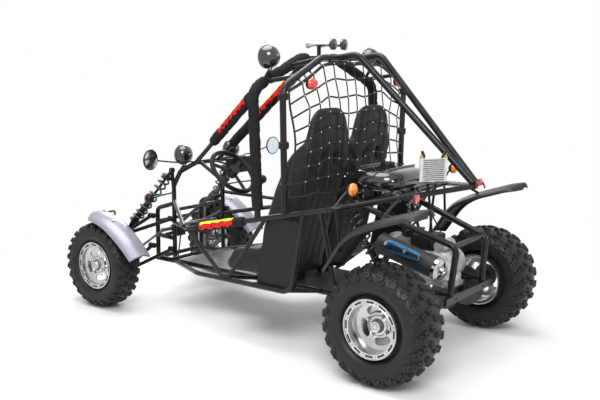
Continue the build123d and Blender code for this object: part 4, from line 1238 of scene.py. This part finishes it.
def shock(foot, top, radius=0.0285):
    """A damper turned about its axis, two spring seats, two eyes and a spring."""
    foot, top = np.asarray(foot, float), np.asarray(top, float)
    length = np.linalg.norm(top - foot)
    axis = (top - foot) / length
    low, high = 0.16, 0.90
    damper = lathe([(0.012, 0), (0.012, 0.013), (length * 0.10, 0.019), (length * 0.45, 0.019),
                    (length * 0.46, 0.008), (length * 0.90, 0.008), (length * 0.90, 0)], foot, axis, 28)
    seats = [lathe([(length * at, 0), (length * at, radius + 0.006), (length * at + 0.005, radius + 0.006),
                    (length * at + 0.009, radius - 0.006), (length * at + 0.009, 0)], foot, axis, 36)
             for at in (low - 0.02, high - 0.012)]
    eyes = [lathe([(-0.014, 0), (-0.014, 0.012), (-0.010, 0.016), (0.010, 0.016), (0.014, 0.012), (0.014, 0)],
                  place, (0.25, 1, 0), 24) for place in (foot, top)]
    neck = rod(top - axis * length * 0.12, top, 0.010)
    spiral = coil(foot + axis * length * (low + 0.03), foot + axis * length * (high - 0.03), radius, 0.0062,
                  7.5)
    return [damper, neck] + seats + eyes, spiral


def shocks():
    """Four shock absorbers from their lower eyes to their upper eyes, mirrored across the middle."""
    for name, foot, top in (("front_shocks", (0.946, 0.346, 0.446), (0.668, 0.250, 0.815)),
                            ("rear_shocks", (-0.800, 0.215, 0.362), (-0.606, 0.300, 0.757))):
        bodies, spirals = [], []
        for side in (1, -1):
            turn = np.array([1, side, 1])
            bars, spiral = shock(np.array(foot) * turn, np.array(top) * turn)
            bodies += bars
            spirals += [spiral]
        piece(f"{name}_dampers", bodies, satin, replaces=[name])
        piece(f"{name}_springs", spirals, spring)


shocks()


# Lamps, signals, mirrors and horns

def bowl(centre, axis, radius, depth):
    """A dome that swells from its back pole to a rim with a bead."""
    share = np.linspace(0, np.pi / 2, 12)
    dome = [(-depth / 2 + depth * 0.72 * (1 - np.cos(a)), radius * 0.96 * np.sin(a)) for a in share]
    edge = [(depth * 0.24, radius), (depth * 0.30, radius * 1.0), (depth * 0.44, radius),
            (depth * 0.5, radius * 0.95), (depth * 0.46, radius * 0.88)]
    return lathe(dome + edge, centre, axis, 48)


def lamp_glass(centre, axis, radius, depth):
    """A shallow glass whose height falls with the cosine of the distance."""
    share = np.linspace(0, 1, 7)
    face = [(depth * 0.45 + depth * 0.06 * np.cos(s * np.pi / 2), radius * 0.885 * s) for s in share]
    return lathe(face + [(depth * 0.40, radius * 0.885), (depth * 0.38, 0)], centre, axis, 40)


def lamps():
    """Two headlamps and two roof lamps: bowls on curved brackets, with a ball joint under each."""
    shells, faces, brackets, balls = [], [], [], []
    for side in (1, -1):
        for place, axis, radius, depth, foot in (
                ((0.596, 0.209, 0.908), (1, 0, 0), 0.061, 0.070, (0.640, 0.210, 0.805)),
                ((-0.254, 0.465, 1.472), (1, 0, 0), 0.060, 0.080, (-0.206, 0.465, 1.348))):
            place = np.array(place) * (1, side, 1)
            foot = np.array(foot) * (1, side, 1)
            axis = np.array(axis, float)
            shells += [bowl(place, axis, radius, depth)]
            faces += [lamp_glass(place, axis, radius, depth)]
            below = place + (0.006, 0, -radius * 0.96)
            shells += [lathe([(-0.006, 0), (-0.006, 0.011), (0.004, 0.011), (0.009, 0.006), (0.009, 0)],
                             place - axis * depth * 0.5, -axis, 20)]
            brackets += [swept(curved([foot, foot * 0.5 + below * 0.5 + (0.004, 0, 0), below], 8),
                               ring_section(0.009, 16))]
            balls += [lathe([(-0.010, 0), (-0.009, 0.006), (0, 0.011), (0.009, 0.006), (0.010, 0)], below,
                            (0, 0, 1), 20)]
            balls += bolt(foot + (0, 0, 0.004), (0, 0, 1))
    piece("lamp_shells", shells, gloss, replaces=["lamps"], sharp=50)
    piece("lamp_faces", faces, glass)
    piece("lamp_brackets", brackets, coat)
    piece("lamp_bolts", balls, chrome)


lamps()


def signals():
    """Front and rear turn signals on curved stalks, and the stalks of the tail lamps."""
    cups, domes, spots, stalks = [], [], [], []
    for side in (1, -1):
        for place, axis, stalk in (((0.595, 0.501, 0.686), (1, 0, 0), (0.690, 0.215, 0.675)),
                                   ((-0.766, 0.514, 0.871), (-1, 0, 0), (-0.688, 0.550, 0.775))):
            place = np.array(place) * (1, side, 1)
            axis = np.array(axis, float)
            cups += [lathe([(-0.024, 0), (-0.024, 0.010), (-0.018, 0.021), (-0.004, 0.029), (0.004, 0.030),
                            (0.004, 0)],
                           place, axis, 36)]
            domes += [lathe([(0.002, 0), (0.002, 0.0298), (0.010, 0.0298), (0.018, 0.025), (0.024, 0.014),
                             (0.026, 0)],
                            place, axis, 36)]
            # Painted highlights: a small glowing glint on each signal dome, above and to one side of its
            # middle.
            spots += [place + axis * 0.0195 + (0, side * 0.008, 0.006)]
            foot = np.array(stalk) * (1, side, 1)
            start = place - axis * 0.014
            stalks += [swept(curved([foot, foot * 0.5 + start * 0.5 + (0, 0, 0.004), start], 8),
                             ring_section(0.0052, 12))]
        place = np.array((-0.459, 0.411 * side, 1.344))
        foot = np.array((-0.406, 0.411 * side, 1.398))
        stalks += [swept(curved([foot, foot * 0.4 + place * 0.6 + (0.010, 0, 0), place + (0.014, 0, 0)], 8),
                         ring_section(0.0045, 12))]
    piece("signal_cups", cups, plastic, replaces=["turn_signals"])
    piece("signal_domes", domes, orange)
    # The glints are painted highlights that glow faintly, not bulbs.
    piece("signal_glints", [beads(spots, (0.005, 0.007, 0.006))], amber_glint)
    piece("signal_stalks", stalks, steel)


signals()


def tail_lamps():
    """Oval tail lamps built up in levels, and the two square reflectors on their plates."""
    backs, domes, plates = [], [], []
    for side in (1, -1):
        place = np.array((-0.459, 0.411 * side, 1.344))
        oval = ring_section(1.0, 36) * (0.037, 0.029)
        axes = np.array([[0, 1, 0], [0, 0, 1], [-1, 0, 0]]) * np.array([[side], [1], [1]])
        backs += [levels(oval, [(-0.020, 0.55), (-0.012, 0.92), (0.003, 1.0)], place, axes)]
        domes += [levels(oval, [(0.002, 0.97), (0.010, 0.95), (0.017, 0.78), (0.022, 0.45), (0.024, 0.2)],
                         place, axes)]
        place = np.array((-1.010, 0.341 * side, 0.832))
        domes += [rounded_box(place + (-0.001, 0, 0), (0.009, 0.038, 0.032))]
        plates += [rounded_box(place + (0.004, 0, 0), (0.004, 0.042, 0.036))]
        plates += [swept(curved([place, place + (0.005, side * 0.05, -0.012), (-1.010, 0.405 * side, 0.795)],
                                6),
                         ring_section(1.0, 8) * (0.009, 0.002))]
    piece("tail_lamp_backs", backs, plastic, replaces=["tail_lamps"])
    piece("tail_lamp_domes", domes, red)
    piece("reflector_plates", plates, steel)


tail_lamps()


def mirrors():
    """Round mirrors: a turned shell, a flat face set into it and a curved stalk."""
    shells, faces, stalks = [], [], []
    for side in (1, -1):
        place = np.array((0.548, 0.537 * side, 0.911))
        axis = np.array([-0.995, -0.10 * side, 0.0])
        shells += [lathe([(-0.013, 0), (-0.012, 0.022), (-0.006, 0.046), (0.004, 0.0565), (0.011, 0.057),
                          (0.013, 0.0545), (0.0105, 0.052), (0.0105, 0)], place, axis, 56)]
        faces += [lathe([(0.0112, 0), (0.0112, 0.0515), (0.0108, 0.0515), (0.0108, 0)], place, axis, 48)]
        foot = np.array((0.515, 0.205 * side, 0.868))
        behind = place - axis * 0.012
        knee = foot * 0.6 + behind * 0.4 + (0.012, 0, -0.006)
        stalks += [swept(curved([foot, foot * 0.85 + behind * 0.15 + (0.01, 0, 0.004), knee, behind], 8),
                         ring_section(0.0045, 12))]
        stalks += [lathe([(-0.008, 0), (-0.008, 0.008), (0.008, 0.008), (0.008, 0)], behind, (0, 1, 0.2), 18)]
    piece("mirror_shells", shells, plastic, replaces=["mirrors"])
    # The mirror faces carry a painted pale blue reflection.
    piece("mirror_faces", faces, painted_sky_reflection)
    piece("mirror_stalks", stalks, coat)


mirrors()


def horns():
    """Two horns: a turned driver, and a trumpet whose radius grows with the fifth power of its length."""
    drivers, trumpets, masts = [], [], []
    for side in (1, -1):
        place = np.array((-0.330, 0.050 * side, 1.540))
        drivers += [lathe([(-0.012, 0), (-0.012, 0.022), (-0.009, 0.029), (0.004, 0.030), (0.008, 0.026),
                           (0.012, 0.012), (0.012, 0)], place, (1, 0, 0), 36)]
        drivers += bolt(place + (-0.012, 0, 0), (-1, 0, 0), 0.006, 0.004)
        share = np.linspace(0, 1, 14)
        flare = [(0.010 + 0.150 * s, 0.0065 + 0.004 * s + 0.012 * s ** 5) for s in share]
        inside = [(along, radius - 0.0015) for along, radius in flare[:0:-1]]
        trumpets += [lathe(flare + inside + [(0.03, 0)], place, (1, 0, 0), 36)]
        masts += [swept(curved([(-0.206, 0, 1.536), (-0.24, 0.02 * side, 1.536), place + (0.02, 0, -0.006)],
                               6),
                        ring_section(0.0055, 12))]
    masts += [rod((-0.206, 0, 1.462), (-0.206, 0, 1.541), 0.011)]
    piece("horn_drivers", drivers, gloss, replaces=["horns"])
    piece("horn_trumpets", trumpets, chrome)
    piece("horn_mast", masts, coat)


horns()


# Tank, muffler, engine and oil cooler

def tank():
    """Two shells of a rounded square in levels, with a seam flange, ribs, a lobed cap and bolts."""
    oval_tank = squircle(72, 3.0) * (0.163, 0.198)
    seam = oval_tank * 1.03
    seam_axes = np.eye(3)
    lower_shell = [(-0.056, 0.05), (-0.056, 0.70), (-0.050, 0.84), (-0.034, 0.95), (-0.012, 1.0),
                   (0.003, 1.0)]
    upper_shell = [(0.001, 1.0), (0.010, 0.995), (0.024, 0.965), (0.036, 0.91), (0.045, 0.82),
                   (0.0505, 0.68), (0.053, 0.45), (0.054, 0.2)]
    shells = [levels(oval_tank, steps, (-0.65, 0, 0.866), seam_axes) for steps in (lower_shell, upper_shell)]
    for x in (-0.54, -0.76):
        shells += [rounded_box((x, side * 0.10, 0.787), (0.030, 0.060, 0.068)) for side in (1, -1)]
    piece("tank_shells", shells, gloss, replaces=["fuel_tank"], sharp=50)
    flange = levels(seam, [(-0.004, 0.99), (-0.003, 1), (0.003, 1), (0.004, 0.99)], (-0.65, 0, 0.868),
                    seam_axes)
    ribs = [swept(curved([(x, -0.13, 0.9205), (x, 0, 0.9225), (x, 0.13, 0.9205)], 6),
                  ring_section(1.0, 8) * (0.006, 0.0025))
            for x in (-0.735, -0.565)]
    piece("tank_seam", [flange] + ribs, gloss)
    grip = ring_section(0.036, 72) * (1 + 0.03 * np.sign(np.sin(np.arange(72) * full_turn / 6)))[:, None]
    cap = levels(grip, [(0.002, 1), (0.020, 1), (0.024, 0.93), (0.0245, 0.6)], (-0.65, 0, 0.9195), seam_axes)
    collar = lathe([(-0.004, 0), (-0.004, 0.044), (0.003, 0.044), (0.004, 0)], (-0.65, 0, 0.9195), (0, 0, 1),
                   48)
    piece("tank_cap", [cap, collar], plastic)
    clips = [bolt((x, side * 0.186, 0.873), (0, 0, 1), 0.006, 0.005)
             for x in (-0.79, -0.65, -0.51) for side in (1, -1)]
    piece("tank_bolts", sum(clips, []), chrome)


tank()

can_start, can_end = np.array([-0.781, 0.272, 0.582]), np.array([-1.096, 0.272, 0.500])
can_axis = unit(can_end - can_start)
can_length = np.linalg.norm(can_end - can_start)
shield_out = unit(np.array([0.0, 0.86, 0.5]))


def muffler_shield():
    """An oval plate wrapped round the can: its width becomes an angle round the can's axis."""
    oval = ring_section(1.0, 48)
    oval = np.sign(oval) * np.abs(oval) ** 0.7 * (0.105, 0.028)
    steps = [(0.0, 1.0), (0.0022, 1.0), (0.0030, 0.95), (0.0030, 0.7), (0.0030, 0.45), (0.0030, 0.2)]
    base = [(0.0, 0.2), (0.0, 0.45), (0.0, 0.7)] + steps
    made = plain_object("muffler_shield", [levels(oval, base, (0, 0, 0), np.eye(3))])
    slot_shape = ring_section(1.0, 28) * (0.036, 0.0055)
    cutters = [levels(slot_shape, [(-0.01, 1), (0.01, 1)], (x, 0, 0), np.eye(3)) for x in (-0.030, 0.056)]
    cut_away(made, cutters)
    flat = mesh_arrays(made.data)[0]
    over = np.cross(can_axis, shield_out)
    can_radius, shield_radius = 0.056, 0.0565
    angle = flat[:, 1] / can_radius
    radius = shield_radius + flat[:, 2]
    middle = can_start + can_axis * can_length * 0.47
    placed = middle + flat[:, :1] * can_axis + radius[:, None] * (np.cos(angle)[:, None] * shield_out
                                                                   + np.sin(angle)[:, None] * over)
    made.data.vertices.foreach_set("co", placed.ravel())
    made.data.update()
    made.data.shade_smooth()
    made.data.set_sharp_from_angle(angle=radians(35))
    made.data.materials.clear()
    made.data.materials.append(blue_anodised)
    shape = bmesh.new()
    shape.from_mesh(made.data)
    bmesh.ops.recalc_face_normals(shape, faces=shape.faces)
    shape.to_mesh(made.data)
    shape.free()
    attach(made, "chassis")


muffler_shield()


def muffler_fittings():
    """The bright end cap and outlet turned about the can's axis, and the shield's bolts."""
    ends = [bolt(can_start + can_axis * can_length * at + shield_out * 0.059, shield_out, 0.007, 0.005)
            for at in (0.19, 0.51, 0.75)]
    end_cap = lathe([(-0.012, 0), (-0.012, 0.0535), (0.004, 0.0535), (0.012, 0.047), (0.014, 0.026),
                     (0.010, 0.022), (0.010, 0)], can_end, can_axis, 64)
    outlet = lathe([(0.008, 0.0), (0.008, 0.018), (0.030, 0.018), (0.032, 0.0165), (0.030, 0.015),
                    (0.012, 0.015), (0.012, 0)], can_end, can_axis, 40)
    piece("muffler_end", [end_cap, outlet] + sum(ends, []), chrome)


muffler_fittings()


def engine():
    """Crankcase, barrel with cooling fins, head, round covers, starter, carburettor and air box."""
    y_axis = np.array([0.0, 1.0, 0.0])
    reach = 0.114
    parts = [rounded_box((-0.93, 0.0, 0.455), (0.24, 0.17, 0.15)),
             rounded_box((-0.93, 0, 0.372), (0.21, 0.13, 0.034))]
    for side in (1, -1):
        axis = y_axis * side
        for x, z, radius in ((-0.985, 0.455, 0.075), (-0.862, 0.448, 0.056)):
            parts += [lathe([(0.05, 0), (0.05, radius), (reach - 0.014, radius),
                             (reach - 0.008, radius - 0.003),
                             (reach - 0.004, radius * 0.55), (reach - 0.002, radius * 0.5), (reach, 0.018),
                             (reach, 0)], (x, 0, z), axis, 56)]
            for place in around((x, side * (reach - 0.014), z), axes_along(axis), radius - 0.008, 6, 0.3):
                parts += bolt(place, axis, 0.0055, 0.008)
    lean = unit(np.array([0.93, 0, 0.36]))
    base = np.array([-0.83, 0, 0.475])
    square = squircle(40, 5.0)
    axes = axes_along(lean)
    for index in range(9):
        at = 0.012 + index * 0.0125
        size = 0.064 if index < 6 else 0.060
        parts += [levels(square * size, [(at, 0.98), (at + 0.0012, 1), (at + 0.0042, 1),
                                         (at + 0.0054, 0.98)], base, axes)]
    parts += [levels(square * 0.048, [(0.0, 1), (0.13, 1)], base, axes)]
    parts += [levels(square * 0.057, [(0.122, 0.96), (0.126, 1), (0.150, 1), (0.164, 0.86)], base, axes)]
    parts += [rod((-0.995, -0.05, 0.555), (-0.995, 0.07, 0.555), 0.030, 32)]
    for x in (-0.72, -1.04):
        parts += [rounded_box((x, 0, 0.363), (0.045, 0.16, 0.018))]
    parts += [rounded_box((-1.04, 0.0, 0.385), (0.05, 0.10, 0.06))]
    piece("engine_castings", parts, cast, replaces=["engine"])
    dark = [rounded_box((-0.90, 0.045, 0.568), (0.13, 0.075, 0.07)),
            rounded_box((-0.90, -0.060, 0.565), (0.10, 0.07, 0.06))]
    dark += [swept(curved([(-0.85, -0.03, 0.575), (-0.80, -0.03, 0.585), (-0.74, -0.02, 0.560)], 8),
                   ring_section(0.018, 20))]
    piece("engine_air_box", dark, plastic)


engine()

cooler_turn = radians(50.3)
cooler_axes = np.array([[np.cos(cooler_turn), np.sin(cooler_turn), 0],
                        [-np.sin(cooler_turn), np.cos(cooler_turn), 0],
                        [0, 0, 1]])
cooler_middle = np.array([-0.999, 0.168, 0.948])


def cooler_place(along, across, rise):
    """A place in the cooler's own turned axes."""
    return cooler_middle + np.array([along, across, rise]) @ cooler_axes


def cooler():
    """Two round end tanks, flat tubes between them, and rows of folded fins."""
    metal = []
    tank_reach, tank_half, tube_pitch = 0.060, 0.056, 0.0094
    for side in (1, -1):
        metal += [rod(cooler_place(side * tank_reach, 0, -tank_half),
                      cooler_place(side * tank_reach, 0, tank_half), 0.0095, 24)]
    for index in range(12):
        rise = -0.0517 + index * tube_pitch
        metal += [rounded_box(cooler_place(0, 0, rise), (0.118, 0.026, 0.0042), cooler_axes)]
    share = np.linspace(-0.052, 0.052, 105)
    for index in range(11):
        rise = -0.047 + index * tube_pitch
        wave = 0.0026 * np.sign(np.sin(share * 1500)) * np.abs(np.sin(share * 1500)) ** 0.4
        sheet = np.array([[cooler_place(a, depth, rise + b) for a, b in zip(share, wave)]
                          for depth in (-0.0115, 0.0115)])
        metal += [grid(sheet)]
    piece("oil_cooler_core", metal, fins, replaces=["oil_cooler"])
    feet = [rounded_box(cooler_place(0, 0.0, -0.062), (0.150, 0.040, 0.004), cooler_axes, 0.3)]
    for side in (1, -1):
        feet += bolt(cooler_place(side * 0.050, 0.012, -0.060), (0, 0, 1), 0.006, 0.006)
    feet += [swept(curved([cooler_place(0, 0, -0.062), cooler_place(0, 0, -0.085), (-0.985, 0.14, 0.838)], 6),
                   ring_section(1.0, 10) * (0.012, 0.003))]
    piece("oil_cooler_foot", feet, steel)
    unions = []
    for side in (1, -1):
        port = cooler_place(side * tank_reach, 0, tank_half)
        unions += [lathe([(0, 0), (0, 0.010), (0.006, 0.010), (0.007, 0.007), (0.016, 0.006), (0.016, 0)],
                         port, (0, 0, 1), 24)]
    piece("oil_cooler_unions", unions, brass)


cooler()


# Fenders: one crowned sheet each, following the strip's side view, with a rolled edge

def crowned_sheet(points, middle, half, droop, power, narrow=1.0, round_end=0.10):
    """Along a side view by across it: the edges droop with a power of the distance, and the end is round."""
    line = even(curved(points, 14), 0.010)
    run = np.linspace(0, 1, len(line))
    across = np.linspace(-1, 1, 29)
    tip = np.sqrt(1 - 0.93 * np.clip((run - 1 + round_end) / round_end, 0, 1) ** 2)
    half = half * tip * (narrow + (1 - narrow) * run)
    tangent = unit(np.gradient(line, axis=0))
    normal = np.stack([tangent[:, 1], -tangent[:, 0]], axis=1)
    normal = normal * np.sign(normal[:, 1:])
    fall = droop * np.abs(across) ** power + 0.008 * np.clip((np.abs(across) - 0.94) / 0.06, 0, 1)
    layers = []
    for lift in (0.0, -0.004):
        sink = lift - fall
        x = line[:, None, 0] + normal[:, None, 0] * sink[None]
        z = line[:, None, 1] + normal[:, None, 1] * sink[None]
        y = middle + half[:, None] * across[None]
        layers += [np.stack([x, y, z], axis=-1)]
    top, under = layers
    loop = np.concatenate([top, under[:, ::-1]], axis=1)
    ends = [np.repeat(loop[index].mean(axis=0)[None, None], loop.shape[1], axis=1) for index in (0, -1)]
    return grid(np.concatenate([ends[0], loop, ends[1]]), wrap_columns=True)


def front_fenders():
    """Silver sheets that turn with the wheels, each held by two bolts."""
    front_line = [(0.640, 0.358), (0.730, 0.440), (0.864, 0.530), (0.992, 0.569), (1.072, 0.556)]
    for side, hand in ((1, "left"), (-1, "right")):
        middle = side * 0.515
        sheet = crowned_sheet(front_line, middle, 0.090, 0.034, 2.4, 0.86, 0.16)
        piece(f"front_fender_sheet_{hand}", [sheet], silver, f"knuckle_{hand}",
              replaces=[f"front_fender_{hand}"], sharp=60)
        heads = bolt((0.864, middle + 0.02, 0.531), (-0.45, 0, 1), 0.007, 0.005)
        heads += bolt((0.992, middle - 0.02, 0.570), (-0.1, 0, 1), 0.007, 0.005)
        piece(f"front_fender_bolts_{hand}", heads, chrome, f"knuckle_{hand}")


front_fenders()


def rear_fenders():
    """Black sheets over the rear wheels, with two bent stays each."""
    stays = []
    for side in (1, -1):
        for x, z, rail in ((-0.720, 0.575, (-0.700, 0.545, 0.772)), (-0.930, 0.738, (-0.900, 0.300, 0.815))):
            start = np.array((x, side * 0.530, z))
            end = np.array(rail) * (1, side, 1)
            stays += [swept(curved([start, start * 0.5 + end * 0.5 + (0, 0, 0.008), end], 8),
                            ring_section(0.007, 12))]
            stays += bolt(start + (0, 0, 0.006), (-0.4, 0, 1), 0.007, 0.005)
    rear_line = [(-0.655, 0.505), (-0.800, 0.690), (-1.060, 0.797), (-1.176, 0.826)]
    sheets = [crowned_sheet(rear_line, side * 0.530, 0.108, 0.024, 3.0, 0.80) for side in (1, -1)]
    piece("rear_fender_sheets", sheets, fender_plastic, replaces=["rear_fenders"], sharp=50)
    piece("rear_fender_stays", stays, coat)


rear_fenders()


# Brake, chain, hoses and small bolts

def chain():
    """Roller links along the two runs between the engine's sprocket and the axle's."""
    big, small = np.array([-0.965, 0.2795]), np.array([-0.862, 0.448])
    run = small - big
    span = np.linalg.norm(run)
    along = run / span
    square = np.array([-along[1], along[0]])
    places, turns = [], []
    y = -0.060
    big_radius, small_radius, pitch = 0.072, 0.026, 0.0085
    for sign in (1, -1):
        start, end = big + square * sign * big_radius, small + square * sign * small_radius
        count = int(np.linalg.norm(end - start) / pitch)
        share = (np.arange(count) + 0.5) / count
        points = start + (end - start) * share[:, None]
        way = unit(end - start)
        axes = np.array([[way[0], 0, way[1]], [0, 1, 0], [-way[1], 0, way[0]]])
        places += [np.stack([points[:, 0], 0 * share + y, points[:, 1]], axis=1)]
        turns += [np.tile(axes, (count, 1, 1))]
    places, turns = np.concatenate(places), np.concatenate(turns)
    wide = np.where(np.arange(len(places)) % 2 == 0, 0.0065, 0.0045)
    scales = np.stack([0 * wide + 0.0062, wide, 0 * wide + 0.0048], axis=1)
    piece("drive_chain", [instances(*bead(), places, turns, scales)], steel)


chain()


def brake():
    """A caliper body over the disc's front edge, its two bolts and its bracket."""
    caliper = [rounded_box((-0.965 + 0.085, -0.300, 0.335), (0.062, 0.052, 0.075), np.eye(3), 0.3, 0.15)]
    for z in (0.352, 0.318):
        caliper += bolt((-0.88, -0.272, z), (0, 1, 0), 0.007, 0.006)
    caliper += [rounded_box((-0.83, -0.290, 0.335), (0.06, 0.010, 0.05))]
    piece("brake_caliper", caliper, cast)


brake()


def hose(points, radius):
    """A round tube on a smooth line."""
    return swept(curved(points, 8), ring_section(radius, 12))


def hoses():
    """Oil, fuel and brake lines as smooth tubes between their fittings."""
    lines = [
        hose([(-1.03, 0.135, 1.012), (-1.03, 0.11, 1.03), (-0.98, 0.05, 0.98), (-0.93, 0.02, 0.80),
              (-0.92, 0.03, 0.60)], 0.0065),
        hose([(-0.97, 0.205, 1.012), (-0.95, 0.19, 1.03), (-0.93, 0.12, 0.96), (-0.93, 0.07, 0.80),
              (-0.95, 0.06, 0.58)], 0.0065),
        hose([(-0.65, 0.10, 0.757), (-0.68, 0.09, 0.72), (-0.78, 0.03, 0.65), (-0.82, 0.0, 0.59)], 0.0045),
        hose([(-0.70, -0.31, 0.70), (-0.80, -0.31, 0.56), (-0.87, -0.305, 0.42), (-0.88, -0.30, 0.37)],
             0.004),
    ]
    piece("engine_hoses", lines, plastic)


hoses()


# The camera stands where the photograph was taken

def camera():
    """A camera from its place, heading, pitch and roll, with the photograph's focal length."""
    place = np.array([-2.8115, 3.646, 1.442])
    heading, pitch, roll = radians(-53.23), radians(-9.45), radians(0.43)
    focal_pixels = 823
    frame_width = 600
    ahead = np.array([np.cos(pitch) * np.cos(heading), np.cos(pitch) * np.sin(heading), np.sin(pitch)])
    right = np.array([np.sin(heading), -np.cos(heading), 0])
    over = np.cross(right, ahead)
    tilted_right = np.cos(roll) * right + np.sin(roll) * over
    tilted_over = -np.sin(roll) * right + np.cos(roll) * over
    data = bpy.data.cameras.new("camera")
    data.sensor_width = 36
    data.lens = 36 * focal_pixels / frame_width
    data.clip_end = 60
    seen = bpy.data.objects.new("camera", data)
    seen.matrix_world = Matrix([
        (*[axis[row] for axis in (tilted_right, tilted_over, -ahead)], place[row]) for row in range(3)
    ] + [(0, 0, 0, 1)])
    bpy.context.scene.collection.objects.link(seen)
    bpy.context.scene.camera = seen


def area_light(name, place, target, size, power):
    """A round soft lamp that looks at a target."""
    data = bpy.data.lights.new(name, "AREA")
    data.shape = "DISK"
    data.size = size
    data.energy = power
    light = bpy.data.objects.new(name, data)
    axes = axes_along(np.asarray(place, float) - np.asarray(target, float))
    light.matrix_world = Matrix([(*axes[:, row], place[row]) for row in range(3)] + [(0, 0, 0, 1)])
    bpy.context.scene.collection.objects.link(light)


def white_when_seen(tree):
    """White light of strength one, as the camera and gloss see the backdrop."""
    glow = tree.nodes.new("ShaderNodeEmission")
    glow.inputs["Color"].default_value = (1, 1, 1, 1)
    glow.inputs["Strength"].default_value = 1.0
    return glow.outputs[0]


def seen_or_mirrored(tree):
    """One for rays from the camera, from gloss and through glass, and zero for the rest."""
    rays = tree.nodes.new("ShaderNodeLightPath")
    last = rays.outputs["Is Camera Ray"]
    for name in ("Is Glossy Ray", "Is Transmission Ray"):
        either = tree.nodes.new("ShaderNodeMath")
        either.operation = "MAXIMUM"
        tree.links.new(last, either.inputs[0])
        tree.links.new(rays.outputs[name], either.inputs[1])
        last = either.outputs[0]
    return last


def studio():
    """A pale floor, a white surround that only the camera and gloss see, and soft lamps overhead."""
    size = 14
    vertices = [(-size, -size, 0), (size, -size, 0), (size, size, 0), (-size, size, 0)]
    mesh = bpy.data.meshes.new("floor")
    mesh.from_pydata(vertices, [], [(0, 1, 2, 3)])
    floor = bpy.data.objects.new("floor", mesh)
    bpy.context.scene.collection.objects.link(floor)
    paint = bpy.data.materials.new("pale_floor")
    paint.use_nodes = True
    tree = paint.node_tree
    shader = tree.nodes["Principled BSDF"]
    shader.inputs["Base Color"].default_value = (0.9, 0.9, 0.9, 1)
    shader.inputs["Roughness"].default_value = 0.9
    backdrop = white_when_seen(tree)
    mixer = tree.nodes.new("ShaderNodeMixShader")
    far = tree.nodes.new("ShaderNodeMapRange")
    where = tree.nodes.new("ShaderNodeVectorMath")
    where.operation = "LENGTH"
    tree.links.new(tree.nodes.new("ShaderNodeTexCoord").outputs["Object"], where.inputs[0])
    far.interpolation_type = "SMOOTHSTEP"
    far.inputs["From Min"].default_value = 1.2
    far.inputs["From Max"].default_value = 2.6
    tree.links.new(where.outputs["Value"], far.inputs["Value"])
    gated = tree.nodes.new("ShaderNodeMath")
    gated.operation = "MULTIPLY"
    tree.links.new(far.outputs[0], gated.inputs[0])
    tree.links.new(seen_or_mirrored(tree), gated.inputs[1])
    tree.links.new(gated.outputs[0], mixer.inputs[0])
    tree.links.new(shader.outputs[0], mixer.inputs[1])
    tree.links.new(backdrop, mixer.inputs[2])
    tree.links.new(mixer.outputs[0], tree.nodes["Material Output"].inputs["Surface"])
    mesh.materials.append(paint)
    world = bpy.data.worlds.new("surround")
    world.use_nodes = True
    bpy.context.scene.world = world
    tree = world.node_tree
    background = tree.nodes["Background"]
    level = tree.nodes.new("ShaderNodeMapRange")
    level.inputs["To Min"].default_value = 0.62
    level.inputs["To Max"].default_value = 1.0
    tree.links.new(seen_or_mirrored(tree), level.inputs["Value"])
    tree.links.new(level.outputs[0], background.inputs["Strength"])
    background.inputs["Color"].default_value = (1, 1, 1, 1)
    area_light("key_lamp", (-2.6, 3.4, 3.6), (-0.2, 0, 0.5), 2.4, 150)
    area_light("top_lamp", (0.4, 0.4, 4.2), (0, 0, 0), 3.2, 120)
    area_light("far_lamp", (2.8, -2.6, 2.6), (0, 0, 0.5), 2.2, 60)


camera()
studio()
bpy.context.scene.view_settings.view_transform = "Standard"
